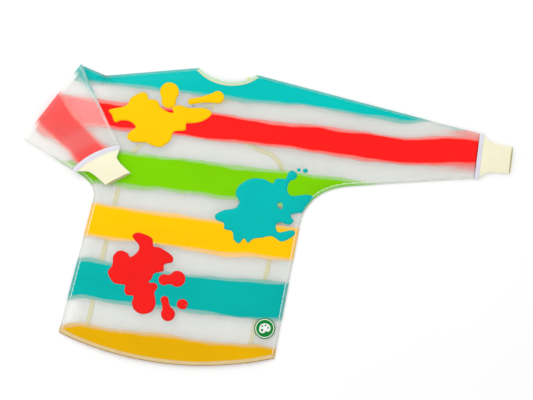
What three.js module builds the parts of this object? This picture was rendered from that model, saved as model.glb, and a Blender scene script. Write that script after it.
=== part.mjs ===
// Child's long-sleeved painting smock in frosted film, lying flat with its front up.
// Millimetres, +Z up, +Y towards the neck, +X to the right. Left and right are as seen from above.
// The left sleeve is folded over the front; both sleeves fold on a hinge across the forearm, and the
// closure flap at the back of the neck peels open.

import * as THREE from "three";

// Driving sizes of the pattern, from the centre line and the level of the shoulder points.
const NECK_HALF_WIDTH = 58;
const NECK_DEPTH = 21;
const SLEEVE_REACH = 514;
const SHOULDER_DROP = 62;
const WRIST_WIDTH = 90;
const CHEST_HALF_WIDTH = 208;
const CHEST_DEPTH = 285;
const HEM_HALF_WIDTH = 217;
const BODY_LENGTH = 594;
const HEM_RISE = 36;
const UNDERARM_REACH = 86;
const UNDERARM_SLOPE = 0.186;

// The lower body lies a little askew, so each point moves sideways by this share of its depth.
const LAY_SKEW = 0.1;

// The left-hand sleeve as it lies: pinched at the shoulder, lifted, and folded over the front.
const PINCH_REACH = 241;
const PINCH_DROP = 38;
const LEFT_FOLD_MIDDLE = [-338, -104];
const LEFT_FOLD_LENGTH = 188;
const LEFT_FOLD_TURN = 59;
const LEFT_FOREARM_LENGTH = 138;
const LEFT_FOREARM_TURN = -45;
const LEFT_WRIST_WIDTH = 104;
const LEFT_WRIST_TURN = 34;
const LEFT_CUFF_LENGTH = 53;
const LEFT_CUFF_DRIFT = 20;

// The hinge line across the other sleeve.
const RIGHT_FOLD_REACH = 284;
const RIGHT_FOLD_TURN = 103;

// The cutaway back: two side strips joined to the yoke, which overlaps at the closure.
const BACK_STRIP_WIDTH = 48;
const YOKE_DEPTH = 138;
const YOKE_CORNER = 62;
const LEFT_YOKE_TIP = [45, -44];
const LEFT_YOKE_BEND = [-32, -77];
const FLAP_REACH = 27;
const FLAP_HINGE_REACH = 48;

// Trim widths.
const SEAM_WIDTH = 5;
const NECK_BINDING = 8;
const HEM_BINDING = 11;
const EDGE_BINDING = 8;
const OVERLOCK_WIDTH = 9;

// Knit cuffs.
const CUFF_LENGTH = 61;
const CUFF_END_WIDTH = 54;
const CUFF_WALL = 2.2;

// Closure strips, badge and label.
const STRIP_LENGTH = 24;
const STRIP_WIDTH = 12;
const STRIP_CENTRE = [-5, -42];
const BADGE_SIZE = 42;
const BADGE_INSET = 32;
const BADGE_HEIGHT = 94;
const LABEL_SIZE = [26, 16];
const LABEL_CENTRE = [-68, -76];

// Heights of the plies. Soft film is drawn thicker than it is, with the air between its plies.
const FILM = 1.2;
const GAP = 0.3;
const STRIP_THICKNESS = 0.9;
const TRIM_PROUD = 0.5;
const AIR = 5.9;
const FLAP_LEVEL = 0;
const BACK_LEVEL = FLAP_LEVEL + FILM + 2 * STRIP_THICKNESS + 3 * GAP;
const FRONT_LEVEL = BACK_LEVEL + FILM + AIR;
const TOP_LEVEL = FRONT_LEVEL + FILM;
const HINGE_LEVEL = TOP_LEVEL + GAP / 2;
const FOLD_CLEARANCE = 0.6;

const HEM_STEP = 31;
const NECK_STEP = 9.5;
const CURVE_STEPS = 10;

const vec = (x, y) => new THREE.Vector2(x, y);
const radians = THREE.MathUtils.degToRad;
const heading = (degrees) => vec(Math.cos(radians(degrees)), Math.sin(radians(degrees)));
const along = (from, direction, distance) => from.clone().addScaledVector(direction, distance);
const crossing = (a, aWay, b, bWay) => {
  const scale = b.clone().sub(a).cross(bWay) / aWay.cross(bWay);
  return along(a, aWay, scale);
};

// A point of the lower body, moved sideways by the lay.
const laid = (x, y) => vec(x + LAY_SKEW * y, y);

const quadratic = (a, control, b) => new THREE.QuadraticBezierCurve(a, control, b).getPoints(CURVE_STEPS);

// Outlines run clockwise, as a list of runs: { kind, points }, each run ending where the next begins.
const neckRun = (fromX, toX) => {
  const radius = (NECK_HALF_WIDTH ** 2 + NECK_DEPTH ** 2) / (2 * NECK_DEPTH);
  const points = [];
  const steps = Math.max(1, Math.round(Math.abs(toX - fromX) / NECK_STEP));
  for (let i = 0; i <= steps; i += 1) {
    const x = THREE.MathUtils.lerp(fromX, toX, i / steps);
    points.push(vec(x, radius - NECK_DEPTH - Math.sqrt(radius ** 2 - x ** 2)));
  }
  return points;
};

const shoulderPoint = vec(NECK_HALF_WIDTH, 0);
const wristTop = vec(SLEEVE_REACH, -SHOULDER_DROP);
const wristBottom = vec(SLEEVE_REACH, -SHOULDER_DROP - WRIST_WIDTH);
const sleeveTopWay = wristTop.clone().sub(shoulderPoint).normalize();
const sleeveUnderWay = vec(-1, -UNDERARM_SLOPE).normalize();

const rightFoldWay = heading(RIGHT_FOLD_TURN);
const rightFoldMiddle = vec(RIGHT_FOLD_REACH, -SHOULDER_DROP - WRIST_WIDTH / 2);
const rightFoldTop = crossing(rightFoldMiddle, rightFoldWay, shoulderPoint, sleeveTopWay);
const rightFoldBottom = crossing(rightFoldMiddle, rightFoldWay, wristBottom, sleeveUnderWay);

const leftFoldWay = heading(LEFT_FOLD_TURN);
const leftFoldTop = along(vec(...LEFT_FOLD_MIDDLE), leftFoldWay, LEFT_FOLD_LENGTH / 2);
const leftFoldBottom = along(vec(...LEFT_FOLD_MIDDLE), leftFoldWay, -LEFT_FOLD_LENGTH / 2);
const pinch = vec(-PINCH_REACH, -PINCH_DROP);

const sideWay = laid(0, -1).normalize();
const sleeveRoot = crossing(wristBottom, sleeveUnderWay, laid(CHEST_HALF_WIDTH, 0), sideWay);
const rightChest = laid(CHEST_HALF_WIDTH, -CHEST_DEPTH);
const leftChest = laid(-CHEST_HALF_WIDTH, -CHEST_DEPTH);
const hemHeight = (x) => -BODY_LENGTH + HEM_RISE * (x / HEM_HALF_WIDTH) ** 2;

const hemRun = (fromX, toX) => {
  const points = [];
  const steps = Math.max(2, Math.round(Math.abs(toX - fromX) / HEM_STEP));
  for (let i = 0; i <= steps; i += 1) {
    const x = THREE.MathUtils.lerp(fromX, toX, i / steps);
    points.push(laid(x, hemHeight(x)));
  }
  return points;
};

const underarmStart = along(sleeveRoot, sleeveUnderWay, -UNDERARM_REACH);
const rightSide = [
  { kind: "shoulder", points: [shoulderPoint, rightFoldTop] },
  { kind: "fold", points: [rightFoldTop, rightFoldBottom] },
  {
    kind: "underarm",
    points: [rightFoldBottom, ...quadratic(underarmStart, sleeveRoot, rightChest)],
  },
  { kind: "side", points: [rightChest, laid(HEM_HALF_WIDTH, hemHeight(HEM_HALF_WIDTH))] },
];
const leftRoot = laid(-CHEST_HALF_WIDTH, sleeveRoot.y - UNDERARM_REACH / 2);
const leftUnderWay = leftFoldBottom.clone().sub(leftRoot).normalize();
const leftUnderarm = quadratic(leftChest, leftRoot, along(leftRoot, leftUnderWay, UNDERARM_REACH / 2));
const leftSide = [
  { kind: "side", points: [laid(-HEM_HALF_WIDTH, hemHeight(HEM_HALF_WIDTH)), leftChest] },
  { kind: "underarm", points: [...leftUnderarm, leftFoldBottom] },
  { kind: "fold", points: [leftFoldBottom, leftFoldTop] },
  { kind: "shoulder", points: [leftFoldTop, pinch, vec(-NECK_HALF_WIDTH, 0)] },
];

const frontOutline = [
  { kind: "neck", points: neckRun(-NECK_HALF_WIDTH, NECK_HALF_WIDTH) },
  ...rightSide,
  { kind: "hem", points: hemRun(HEM_HALF_WIDTH, -HEM_HALF_WIDTH) },
  ...leftSide,
];

// The cutaway edges of the back.
const backEdgeReach = CHEST_HALF_WIDTH - BACK_STRIP_WIDTH;
const yokeCurve = (side) => quadratic(
  laid(side * (backEdgeReach - YOKE_CORNER), -YOKE_DEPTH - YOKE_CORNER * 0.25),
  laid(side * backEdgeReach, -YOKE_DEPTH - YOKE_CORNER * 0.3),
  laid(side * backEdgeReach, -YOKE_DEPTH - YOKE_CORNER * 1.9),
);
const backEdgeFoot = (side) => laid(side * backEdgeReach, hemHeight(backEdgeReach));
const leftTip = neckRun(FLAP_HINGE_REACH, FLAP_HINGE_REACH)[0];
const leftEdge = [vec(...LEFT_YOKE_TIP), vec(...LEFT_YOKE_BEND), ...yokeCurve(-1), backEdgeFoot(-1)];
const rightEdge = [backEdgeFoot(1), ...yokeCurve(1).reverse(), vec(FLAP_HINGE_REACH, -YOKE_DEPTH)];

const backLeftOutline = [
  { kind: "neck", points: neckRun(-NECK_HALF_WIDTH, FLAP_HINGE_REACH) },
  { kind: "edge", points: [leftTip, ...leftEdge] },
  { kind: "hem", points: hemRun(-backEdgeReach, -HEM_HALF_WIDTH) },
  ...leftSide,
];
const backRightOutline = [
  ...rightSide,
  { kind: "hem", points: hemRun(HEM_HALF_WIDTH, backEdgeReach) },
  { kind: "edge", points: rightEdge },
  { kind: "joint", points: [vec(FLAP_HINGE_REACH, -YOKE_DEPTH), leftTip] },
  { kind: "neck", points: neckRun(FLAP_HINGE_REACH, NECK_HALF_WIDTH) },
];

// Both forearms, from the fold to the cuff seam.
const rightForearm = [
  { kind: "fold", points: [rightFoldBottom, rightFoldTop] },
  { kind: "shoulder", points: [rightFoldTop, wristTop] },
  { kind: "wrist", points: [wristTop, wristBottom] },
  { kind: "underarm", points: [wristBottom, rightFoldBottom] },
];
const leftWrist = along(vec(...LEFT_FOLD_MIDDLE), heading(LEFT_FOREARM_TURN), LEFT_FOREARM_LENGTH);
const leftWristUp = along(leftWrist, heading(LEFT_WRIST_TURN), LEFT_WRIST_WIDTH / 2);
const leftWristDown = along(leftWrist, heading(LEFT_WRIST_TURN), -LEFT_WRIST_WIDTH / 2);
const leftElbow = along(leftWristUp, heading(LEFT_WRIST_TURN + 90), LEFT_FOREARM_LENGTH / 3);
const leftForearm = [
  { kind: "fold", points: [leftFoldBottom, leftFoldTop] },
  { kind: "shoulder", points: quadratic(leftFoldTop, leftElbow, leftWristUp) },
  { kind: "wrist", points: [leftWristUp, leftWristDown] },
  { kind: "underarm", points: [leftWristDown, leftFoldBottom] },
];

// The outline pulled inwards, each run by its own distance in insets.
const inset = (outline, insets) => {
  const edges = [];
  for (const run of outline) {
    for (let i = 0; i + 1 < run.points.length; i += 1) {
      const way = run.points[i + 1].clone().sub(run.points[i]).normalize();
      const inwards = vec(way.y, -way.x);
      edges.push({ kind: run.kind, at: along(run.points[i], inwards, insets[run.kind] ?? 0), way });
    }
  }
  return edges.map((edge, i) => {
    const before = edges[(i + edges.length - 1) % edges.length];
    const parallel = Math.abs(before.way.cross(edge.way)) < 1e-3;
    const corner = parallel ? edge.at : crossing(before.at, before.way, edge.at, edge.way);
    return { kind: edge.kind, point: corner };
  });
};

const panelShape = (outline, insets) => {
  const corners = inset(outline, insets);
  return new THREE.Shape(corners.map((corner) => corner.point));
};

// The strip along every run of one kind, between two sets of insets.
const stripShapes = (outline, kind, outer, inner) => {
  const outerCorners = inset(outline, outer);
  const innerCorners = inset(outline, inner);
  const count = outerCorners.length;
  const shapes = [];
  for (let i = 0; i < count; i += 1) {
    const starts = outerCorners[i].kind === kind && outerCorners[(i + count - 1) % count].kind !== kind;
    if (starts) {
      const indices = [i];
      for (let j = i; outerCorners[j % count].kind === kind; j += 1) {
        indices.push((j + 1) % count);
      }
      const outside = indices.map((k) => outerCorners[k].point);
      const inside = indices.map((k) => innerCorners[k].point).reverse();
      shapes.push(new THREE.Shape([...outside, ...inside]));
    }
  }
  return shapes;
};

const plate = (shape, low, high) => {
  const geometry = new THREE.ExtrudeGeometry(shape, { depth: high - low, bevelEnabled: false });
  return geometry.translate(0, 0, low);
};

// A flattened tube along +X: sections are { at, half, rise, drift }, with rounded sides and an even wall.
const flatTube = (sections, wall) => {
  const around = 28;
  const positions = [];
  const ringPoint = (section, shrink, turn) => {
    const half = section.half - shrink;
    const rise = section.rise - shrink;
    const c = Math.cos(turn);
    const s = Math.sin(turn);
    const y = section.drift + Math.sign(c) * Math.abs(c) ** 0.75 * half;
    const z = Math.sign(s) * Math.abs(s) ** 0.5 * rise;
    return [section.at, y, z];
  };
  for (const shrink of [0, wall]) {
    for (const section of sections) {
      for (let i = 0; i < around; i += 1) {
        positions.push(...ringPoint(section, shrink, (2 * Math.PI * i) / around));
      }
    }
  }
  const rings = sections.length;
  const last = rings - 1;
  const index = (layer, ring, i) => (layer * rings + ring) * around + (i % around);
  const faces = [];
  const quad = (a, b, c, d) => faces.push(a, b, c, a, c, d);
  for (let i = 0; i < around; i += 1) {
    for (let r = 0; r + 1 < rings; r += 1) {
      quad(index(0, r, i), index(0, r, i + 1), index(0, r + 1, i + 1), index(0, r + 1, i));
      quad(index(1, r, i + 1), index(1, r, i), index(1, r + 1, i), index(1, r + 1, i + 1));
    }
    quad(index(0, 0, i + 1), index(0, 0, i), index(1, 0, i), index(1, 0, i + 1));
    quad(index(0, last, i), index(0, last, i + 1), index(1, last, i + 1), index(1, last, i));
  }
  const geometry = new THREE.BufferGeometry();
  geometry.setAttribute("position", new THREE.Float32BufferAttribute(positions, 3));
  geometry.setIndex(faces);
  return geometry;
};

const FINISHES = {
  film: { color: 0xeeeeea, roughness: 0.35, metalness: 0 },
  welded: { color: 0xe4e6e2, roughness: 0.4, metalness: 0 },
  binding: { color: 0xe6d7a8, roughness: 0.8, metalness: 0 },
  knit: { color: 0xf4f1dc, roughness: 0.9, metalness: 0 },
  thread: { color: 0xf7f5fa, roughness: 0.8, metalness: 0 },
  closure: { color: 0xf0efe6, roughness: 0.9, metalness: 0 },
  badge: { color: 0x1f8f4a, roughness: 0.45, metalness: 0 },
  label: { color: 0xfafafa, roughness: 0.7, metalness: 0 },
};

const smock = new THREE.Group();
const add = (name, finish, geometry) => {
  const mesh = new THREE.Mesh(geometry, new THREE.MeshStandardMaterial(FINISHES[finish]));
  mesh.name = name;
  smock.add(mesh);
  return mesh;
};

// Insets shared by the torso plies.
const panelInsets = {
  neck: NECK_BINDING + GAP,
  shoulder: SEAM_WIDTH + GAP,
  underarm: SEAM_WIDTH + GAP,
  side: SEAM_WIDTH + GAP,
  hem: HEM_BINDING + GAP,
  edge: EDGE_BINDING + GAP,
  fold: FOLD_CLEARANCE,
  wrist: GAP,
};
const openInsets = { ...panelInsets, shoulder: 0, underarm: 0, side: 0 };

// Front and back plies.
add("front_panel", "film", plate(panelShape(frontOutline, panelInsets), FRONT_LEVEL, TOP_LEVEL));
for (const [name, outline] of [["back_panel_left", backLeftOutline], ["back_panel_right", backRightOutline]]) {
  add(name, "film", plate(panelShape(outline, panelInsets), BACK_LEVEL, BACK_LEVEL + FILM));
}

// Welded seams round the torso. Each stands from the ground to the front ply.
const seamOf = (kind, index) => {
  const outer = openInsets;
  const inner = { ...outer, shoulder: SEAM_WIDTH, underarm: SEAM_WIDTH, side: SEAM_WIDTH };
  return stripShapes(frontOutline, kind, outer, inner)[index];
};
const seamGap = 2 * GAP;
const shorten = (shape) => {
  const points = shape.getPoints();
  const half = points.length / 2;
  const pull = (from, to) => from.addScaledVector(to.clone().sub(from).normalize(), seamGap);
  pull(points[0], points[1].clone());
  pull(points[half - 1], points[half - 2].clone());
  pull(points[half], points[half + 1].clone());
  pull(points[points.length - 1], points[points.length - 2].clone());
  return new THREE.Shape(points);
};
for (const [kind, label, sides] of [
  ["shoulder", "shoulder_seam", ["right", "left"]],
  ["underarm", "underarm_seam", ["right", "left"]],
  ["side", "side_seam", ["right", "left"]],
]) {
  sides.forEach((side, index) => {
    add(`${label}_${side}`, "welded", plate(shorten(seamOf(kind, index)), 0, TOP_LEVEL));
  });
}

// Bound edges. The back's bindings stand proud of its film on both faces.
const boundStrip = (outline, kind, width) => {
  const outer = { ...openInsets, edge: 0, [kind]: 0 };
  return shorten(stripShapes(outline, kind, outer, { ...outer, [kind]: width })[0]);
};
const frontLevels = [FRONT_LEVEL, TOP_LEVEL + TRIM_PROUD];
const backLevels = [BACK_LEVEL - TRIM_PROUD, BACK_LEVEL + FILM + TRIM_PROUD];
const hemBackLevels = [0, BACK_LEVEL + FILM + TRIM_PROUD];
for (const [name, outline, kind, width, levels] of [
  ["neck_binding_front", frontOutline, "neck", NECK_BINDING, frontLevels],
  ["hem_binding_front", frontOutline, "hem", HEM_BINDING, frontLevels],
  ["neck_binding_back_left", backLeftOutline, "neck", NECK_BINDING, backLevels],
  ["neck_binding_back_right", backRightOutline, "neck", NECK_BINDING, backLevels],
  ["hem_binding_back_left", backLeftOutline, "hem", HEM_BINDING, hemBackLevels],
  ["hem_binding_back_right", backRightOutline, "hem", HEM_BINDING, hemBackLevels],
  ["back_edge_binding_left", backLeftOutline, "edge", EDGE_BINDING, backLevels],
  ["back_edge_binding_right", backRightOutline, "edge", EDGE_BINDING, backLevels],
]) {
  add(name, "binding", plate(boundStrip(outline, kind, width), ...levels));
}

// Closure at the back of the neck: the flap lies under the left yoke, hook strip against loop strip.
const flapSlack = FLAP_HINGE_REACH - FOLD_CLEARANCE;
const flapOutline = [
  { kind: "neck", points: neckRun(-FLAP_REACH, flapSlack) },
  { kind: "joint", points: [neckRun(flapSlack, flapSlack)[0], vec(flapSlack, -YOKE_DEPTH)] },
  { kind: "edge", points: [vec(flapSlack, -YOKE_DEPTH), vec(-FLAP_REACH, -YOKE_DEPTH)] },
  { kind: "edge", points: [vec(-FLAP_REACH, -YOKE_DEPTH), neckRun(-FLAP_REACH, 0)[0]] },
];
const flapInsets = { edge: EDGE_BINDING + GAP };
const strip = (low) => {
  const [x, y] = STRIP_CENTRE;
  return new THREE.BoxGeometry(STRIP_LENGTH, STRIP_WIDTH, STRIP_THICKNESS)
    .translate(x, y, low + STRIP_THICKNESS / 2);
};
const hookLevel = FLAP_LEVEL + FILM + GAP;
add("closure_flap", "film", plate(panelShape(flapOutline, flapInsets), FLAP_LEVEL, FLAP_LEVEL + FILM));
const flapBinding = stripShapes(flapOutline, "edge", {}, { edge: EDGE_BINDING })[0];
add("closure_flap_binding", "binding", plate(flapBinding, FLAP_LEVEL, FLAP_LEVEL + FILM + TRIM_PROUD));
add("hook_strip", "closure", strip(hookLevel));
add("loop_strip", "closure", strip(hookLevel + STRIP_THICKNESS + GAP));

// Sleeves beyond the folds: two plies, two welded seams, the overlocked seam and the knit cuff.
const cuffSections = (wristWidth, length, drift) => {
  const rise = TOP_LEVEL / 2;
  return [[0, wristWidth / 2 - 2], [0.12, wristWidth * 0.4], [0.28, CUFF_END_WIDTH * 0.56],
    [0.5, CUFF_END_WIDTH * 0.51], [1, CUFF_END_WIDTH / 2]]
    .map(([share, half]) => ({ at: share * length, half, rise, drift: share * drift }));
};
const overlockSections = (wristWidth) => [0, 0.5, 1].map((share) => ({
  at: share * OVERLOCK_WIDTH,
  half: wristWidth / 2 - (share === 0.5 ? 0 : 1),
  rise: TOP_LEVEL / 2,
  drift: 0,
}));
const sleeves = [
  { side: "right", outline: rightForearm, wrist: wristTop.clone().add(wristBottom).divideScalar(2),
    turn: 0, cuffLength: CUFF_LENGTH, drift: 0, width: WRIST_WIDTH, level: (z) => z },
  { side: "left", outline: leftForearm, wrist: leftWrist,
    turn: LEFT_WRIST_TURN - 90, cuffLength: LEFT_CUFF_LENGTH, drift: LEFT_CUFF_DRIFT,
    width: LEFT_WRIST_WIDTH, level: (z) => 2 * HINGE_LEVEL - z },
];
for (const { side, outline, wrist, turn, cuffLength, drift, width, level } of sleeves) {
  const ply = (name, finish, shape, low, high) => {
    const [a, b] = [level(low), level(high)].sort((p, q) => p - q);
    add(`${name}_${side}`, finish, plate(shape, a, b));
  };
  ply("sleeve_front", "film", panelShape(outline, panelInsets), FRONT_LEVEL, TOP_LEVEL);
  ply("sleeve_back", "film", panelShape(outline, panelInsets), BACK_LEVEL, BACK_LEVEL + FILM);
  const inner = { ...openInsets, shoulder: SEAM_WIDTH, underarm: SEAM_WIDTH };
  const topSeam = stripShapes(outline, "shoulder", openInsets, inner)[0];
  const underSeam = stripShapes(outline, "underarm", openInsets, inner)[0];
  ply("sleeve_top_seam", "welded", shorten(topSeam), 0, TOP_LEVEL);
  ply("sleeve_under_seam", "welded", shorten(underSeam), 0, TOP_LEVEL);

  const middle = level(TOP_LEVEL / 2);
  const seam = add(`cuff_overlock_${side}`, "thread", flatTube(overlockSections(width), CUFF_WALL));
  seam.position.set(wrist.x, wrist.y, middle);
  seam.rotation.z = radians(turn);
  const start = along(wrist, heading(turn), OVERLOCK_WIDTH + GAP);
  const cuff = add(`cuff_${side}`, "knit", flatTube(cuffSections(width, cuffLength, drift), CUFF_WALL));
  cuff.position.set(start.x, start.y, middle);
  cuff.rotation.z = radians(turn);
}

// Badge on the front near the hem, and the blank label inside the back of the neck.
const badgeAt = laid(HEM_HALF_WIDTH - BADGE_INSET, -BODY_LENGTH + BADGE_HEIGHT);
const badge = new THREE.CylinderGeometry(BADGE_SIZE / 2, BADGE_SIZE / 2, TRIM_PROUD, 32);
badge.rotateX(Math.PI / 2);
add("hem_badge", "badge", badge.translate(badgeAt.x, badgeAt.y, TOP_LEVEL + GAP + TRIM_PROUD / 2));
const label = new THREE.BoxGeometry(...LABEL_SIZE, TRIM_PROUD);
add("neck_label", "label", label.translate(...LABEL_CENTRE, BACK_LEVEL + FILM + GAP + TRIM_PROUD / 2));

const frame = new THREE.Group();
frame.add(smock);
const box = new THREE.Box3().setFromObject(smock);
smock.position.set(-(box.min.x + box.max.x) / 2, -(box.min.y + box.max.y) / 2, -box.min.z);

export default frame;
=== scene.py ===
import math

import bpy
import numpy as np
from bpy.props import FloatProperty, FloatVectorProperty, IntProperty, PointerProperty
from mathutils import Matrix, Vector, noise
from mathutils.geometry import delaunay_2d_cdt


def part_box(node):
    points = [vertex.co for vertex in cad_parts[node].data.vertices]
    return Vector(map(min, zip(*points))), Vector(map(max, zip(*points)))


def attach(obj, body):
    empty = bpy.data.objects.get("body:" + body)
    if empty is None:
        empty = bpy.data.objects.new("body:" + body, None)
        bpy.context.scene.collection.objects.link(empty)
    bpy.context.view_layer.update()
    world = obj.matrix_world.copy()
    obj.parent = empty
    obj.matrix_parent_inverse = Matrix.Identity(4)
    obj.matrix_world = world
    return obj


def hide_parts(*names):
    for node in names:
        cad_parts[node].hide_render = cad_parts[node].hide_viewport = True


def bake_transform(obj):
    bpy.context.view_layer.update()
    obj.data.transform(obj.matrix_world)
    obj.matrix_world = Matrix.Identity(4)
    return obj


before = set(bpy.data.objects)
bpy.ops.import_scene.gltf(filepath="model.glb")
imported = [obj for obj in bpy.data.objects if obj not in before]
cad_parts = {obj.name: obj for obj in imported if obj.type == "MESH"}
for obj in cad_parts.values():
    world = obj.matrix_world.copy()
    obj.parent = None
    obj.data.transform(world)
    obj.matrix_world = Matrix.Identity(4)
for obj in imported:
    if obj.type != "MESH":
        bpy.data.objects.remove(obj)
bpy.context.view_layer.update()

bl_info = {
    "name": "Painting Smock",
    "version": (1, 0, 0),
    "blender": (4, 5, 0),
    "location": "View3D > Sidebar > Smock",
    "description": "Builds a child's frosted film painting smock, laid flat with one sleeve folded over",
    "category": "Object",
}

MM = 0.001


def vec(x, y):
    return np.array((x, y), float)


# ---------------------------------------------------------------------------------------------------------
# The pattern, in millimetres from the centre line and the level of the shoulder points.

NECK_HALF_WIDTH = 58
NECK_DEPTH = 21
SLEEVE_REACH = 514
SHOULDER_DROP = 62
WRIST_WIDTH = 90
CHEST_HALF_WIDTH = 208
CHEST_DEPTH = 285
HEM_HALF_WIDTH = 217
BODY_LENGTH = 594
HEM_RISE = 36
UNDERARM_REACH = 86
UNDERARM_SLOPE = 0.186
LAY_SKEW = 0.1

PINCH = vec(-241, -38)
LEFT_FOLD_MIDDLE = vec(-338, -104)
LEFT_FOLD_LENGTH = 188
LEFT_FOLD_TURN = 59
LEFT_FOREARM_LENGTH = 138
LEFT_FOREARM_TURN = -45
FOREARM_HALF_WIDTH = 75
LEFT_WRIST_WIDTH = 104
LEFT_WRIST_TURN = 34
LEFT_CUFF_LENGTH = 53
LEFT_CUFF_DRIFT = 20

BACK_STRIP_WIDTH = 48
YOKE_DEPTH = 138
YOKE_CORNER = 62
LEFT_YOKE_TIP = vec(45, -44)
LEFT_YOKE_BEND = vec(-32, -77)
FLAP_REACH = 27
FLAP_HINGE_REACH = 48

SEAM_WIDTH = 5
NECK_BINDING = 8
HEM_BINDING = 11
EDGE_BINDING = 8
OVERLOCK_WIDTH = 9
CUFF_LENGTH = 61
CUFF_END_WIDTH = 54
STRIP_CENTRE = vec(-5, -42)
STRIP_SIZE = (24, 12)
LABEL_CENTRE = vec(-68, -76)
LABEL_SIZE = (26, 16)
BADGE_INSET = 32
BADGE_HEIGHT = 94

# Heights of the plies above the surface that the smock lies on.
HINGE_LEVEL = 12.35
FLANGE_LEVEL = 2.2
DOME_LEVEL = 10.6
FLAP_LEVEL = 0.4
BACK_LEVEL = 1.5
FOLD_BACK_LEVEL = 1.35
FOLD_FRONT_LEVEL = 2.85
NECK_LEVEL = 8.0
HEM_LEVEL = 5.0
CUFF_HALF_THICKNESS = 4.0
RIGHT_CUFF_LEVEL = 4.3
LEFT_CUFF_LEVEL = 8.2
FOLD_TUCK = 4.0
FOLD_BULGE = 7.0
HOOK_LEVEL = 1.25
LOOP_LEVEL = 2.4

# Thicknesses, and how far what is laid on the film is lifted from it.
WELD_THICKNESS = 1.1
WELD_LIFT = 0.1
BINDING_THICKNESS = 1.3
KNIT_THICKNESS = 1.3
OVERLOCK_THICKNESS = 1.2
RIB_HEIGHT = 0.32
INK_THICKNESS = 0.16
INK_LIFT = 0.3
BADGE_THICKNESS = 0.3
BADGE_PRINT_LIFT = 0.55
LABEL_THICKNESS = 0.35
LABEL_LIFT = 0.5
DASH_THICKNESS = 0.25
HOOK_THICKNESS = 0.8
LOOP_THICKNESS = 0.9

# Threads: length and thickness of a stitch, its distance from the tape's edge, and its lift from the middle.
STITCH_LENGTH = 2.3
STITCH_THREAD = 0.55
STITCH_INSET = 1.6
STITCH_LIFT = 0.62
OVERLOCK_PITCH = 1.35
OVERLOCK_THREAD = 0.75
OVERLOCK_SLANT = 9

# How far the middle of the left cuff reaches up the sleeve, and how much shorter a cuff's top face is.
LEFT_CUFF_ARCH = 8.0
CUFF_SHORTER = 3.8

VIEW_MIDDLE = (0.0082, 0.0514)

NECK_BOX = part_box("neck_binding_front")
CENTRE_LINE = (NECK_BOX[0].x + NECK_BOX[1].x) / 2
SHOULDER_LINE = NECK_BOX[1].y


def heading(degrees):
    return vec(math.cos(math.radians(degrees)), math.sin(math.radians(degrees)))


def laid(x, y):
    """A point of the lower body, moved sideways by the lay."""
    return vec(x + LAY_SKEW * y, y)


def unit(v):
    return v / np.linalg.norm(v)


def units(rows):
    return rows / np.linalg.norm(rows, axis=1)[:, None]


def left_of(way):
    return vec(-way[1], way[0])


def between(a, b, share):
    return a + (b - a) * share


def gapped(start, end, step):
    return np.linspace(start, end, max(2, round(abs(end - start) / step)) + 1)


def crossing(a, a_way, b, b_way):
    span = b - a
    scale = (span[0] * b_way[1] - span[1] * b_way[0]) / (a_way[0] * b_way[1] - a_way[1] * b_way[0])
    return a + a_way * scale


def quadratic(a, control, b, steps=16):
    t = np.linspace(0, 1, steps + 1)[:, None]
    return (1 - t) ** 2 * a + 2 * t * (1 - t) * control + t**2 * b


def smooth(value, low, high):
    t = np.clip((value - low) / (high - low), 0, 1)
    return t * t * (3 - 2 * t)


def neck_y(x):
    radius = (NECK_HALF_WIDTH**2 + NECK_DEPTH**2) / (2 * NECK_DEPTH)
    return radius - NECK_DEPTH - np.sqrt(radius**2 - x**2)


def neck_run(from_x, to_x):
    x = gapped(from_x, to_x, 4)
    return np.column_stack((x, neck_y(x)))


def hem_height(x):
    return -BODY_LENGTH + HEM_RISE * (x / HEM_HALF_WIDTH) ** 2


def hem_run(from_x, to_x):
    x = gapped(from_x, to_x, 8)
    return np.column_stack((x + LAY_SKEW * hem_height(x), hem_height(x)))


SHOULDER = vec(NECK_HALF_WIDTH, 0)
WRIST_TOP = vec(SLEEVE_REACH, -SHOULDER_DROP)
WRIST_BOTTOM = vec(SLEEVE_REACH, -SHOULDER_DROP - WRIST_WIDTH)
WRIST_MIDDLE = (WRIST_TOP + WRIST_BOTTOM) / 2
UNDER_WAY = unit(vec(-1, -UNDERARM_SLOPE))
LEFT_FOLD_WAY = heading(LEFT_FOLD_TURN)
LEFT_INWARD = heading(LEFT_FOLD_TURN - 90)
LEFT_FOLD_TOP = LEFT_FOLD_MIDDLE + LEFT_FOLD_WAY * LEFT_FOLD_LENGTH / 2
LEFT_FOLD_BOTTOM = LEFT_FOLD_MIDDLE - LEFT_FOLD_WAY * LEFT_FOLD_LENGTH / 2
SLEEVE_ROOT = crossing(WRIST_BOTTOM, UNDER_WAY, laid(CHEST_HALF_WIDTH, 0), unit(laid(0, -1)))
RIGHT_CHEST = laid(CHEST_HALF_WIDTH, -CHEST_DEPTH)
LEFT_CHEST = laid(-CHEST_HALF_WIDTH, -CHEST_DEPTH)
LEFT_ROOT = laid(-CHEST_HALF_WIDTH, SLEEVE_ROOT[1] - UNDERARM_REACH / 2)
LEFT_WRIST = LEFT_FOLD_MIDDLE + heading(LEFT_FOREARM_TURN) * LEFT_FOREARM_LENGTH
LEFT_WRIST_UP = LEFT_WRIST + heading(LEFT_WRIST_TURN) * LEFT_WRIST_WIDTH / 2
LEFT_WRIST_DOWN = LEFT_WRIST - heading(LEFT_WRIST_TURN) * LEFT_WRIST_WIDTH / 2
LEFT_ELBOW = LEFT_WRIST_UP + heading(LEFT_WRIST_TURN + 90) * LEFT_FOREARM_LENGTH / 3

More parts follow.
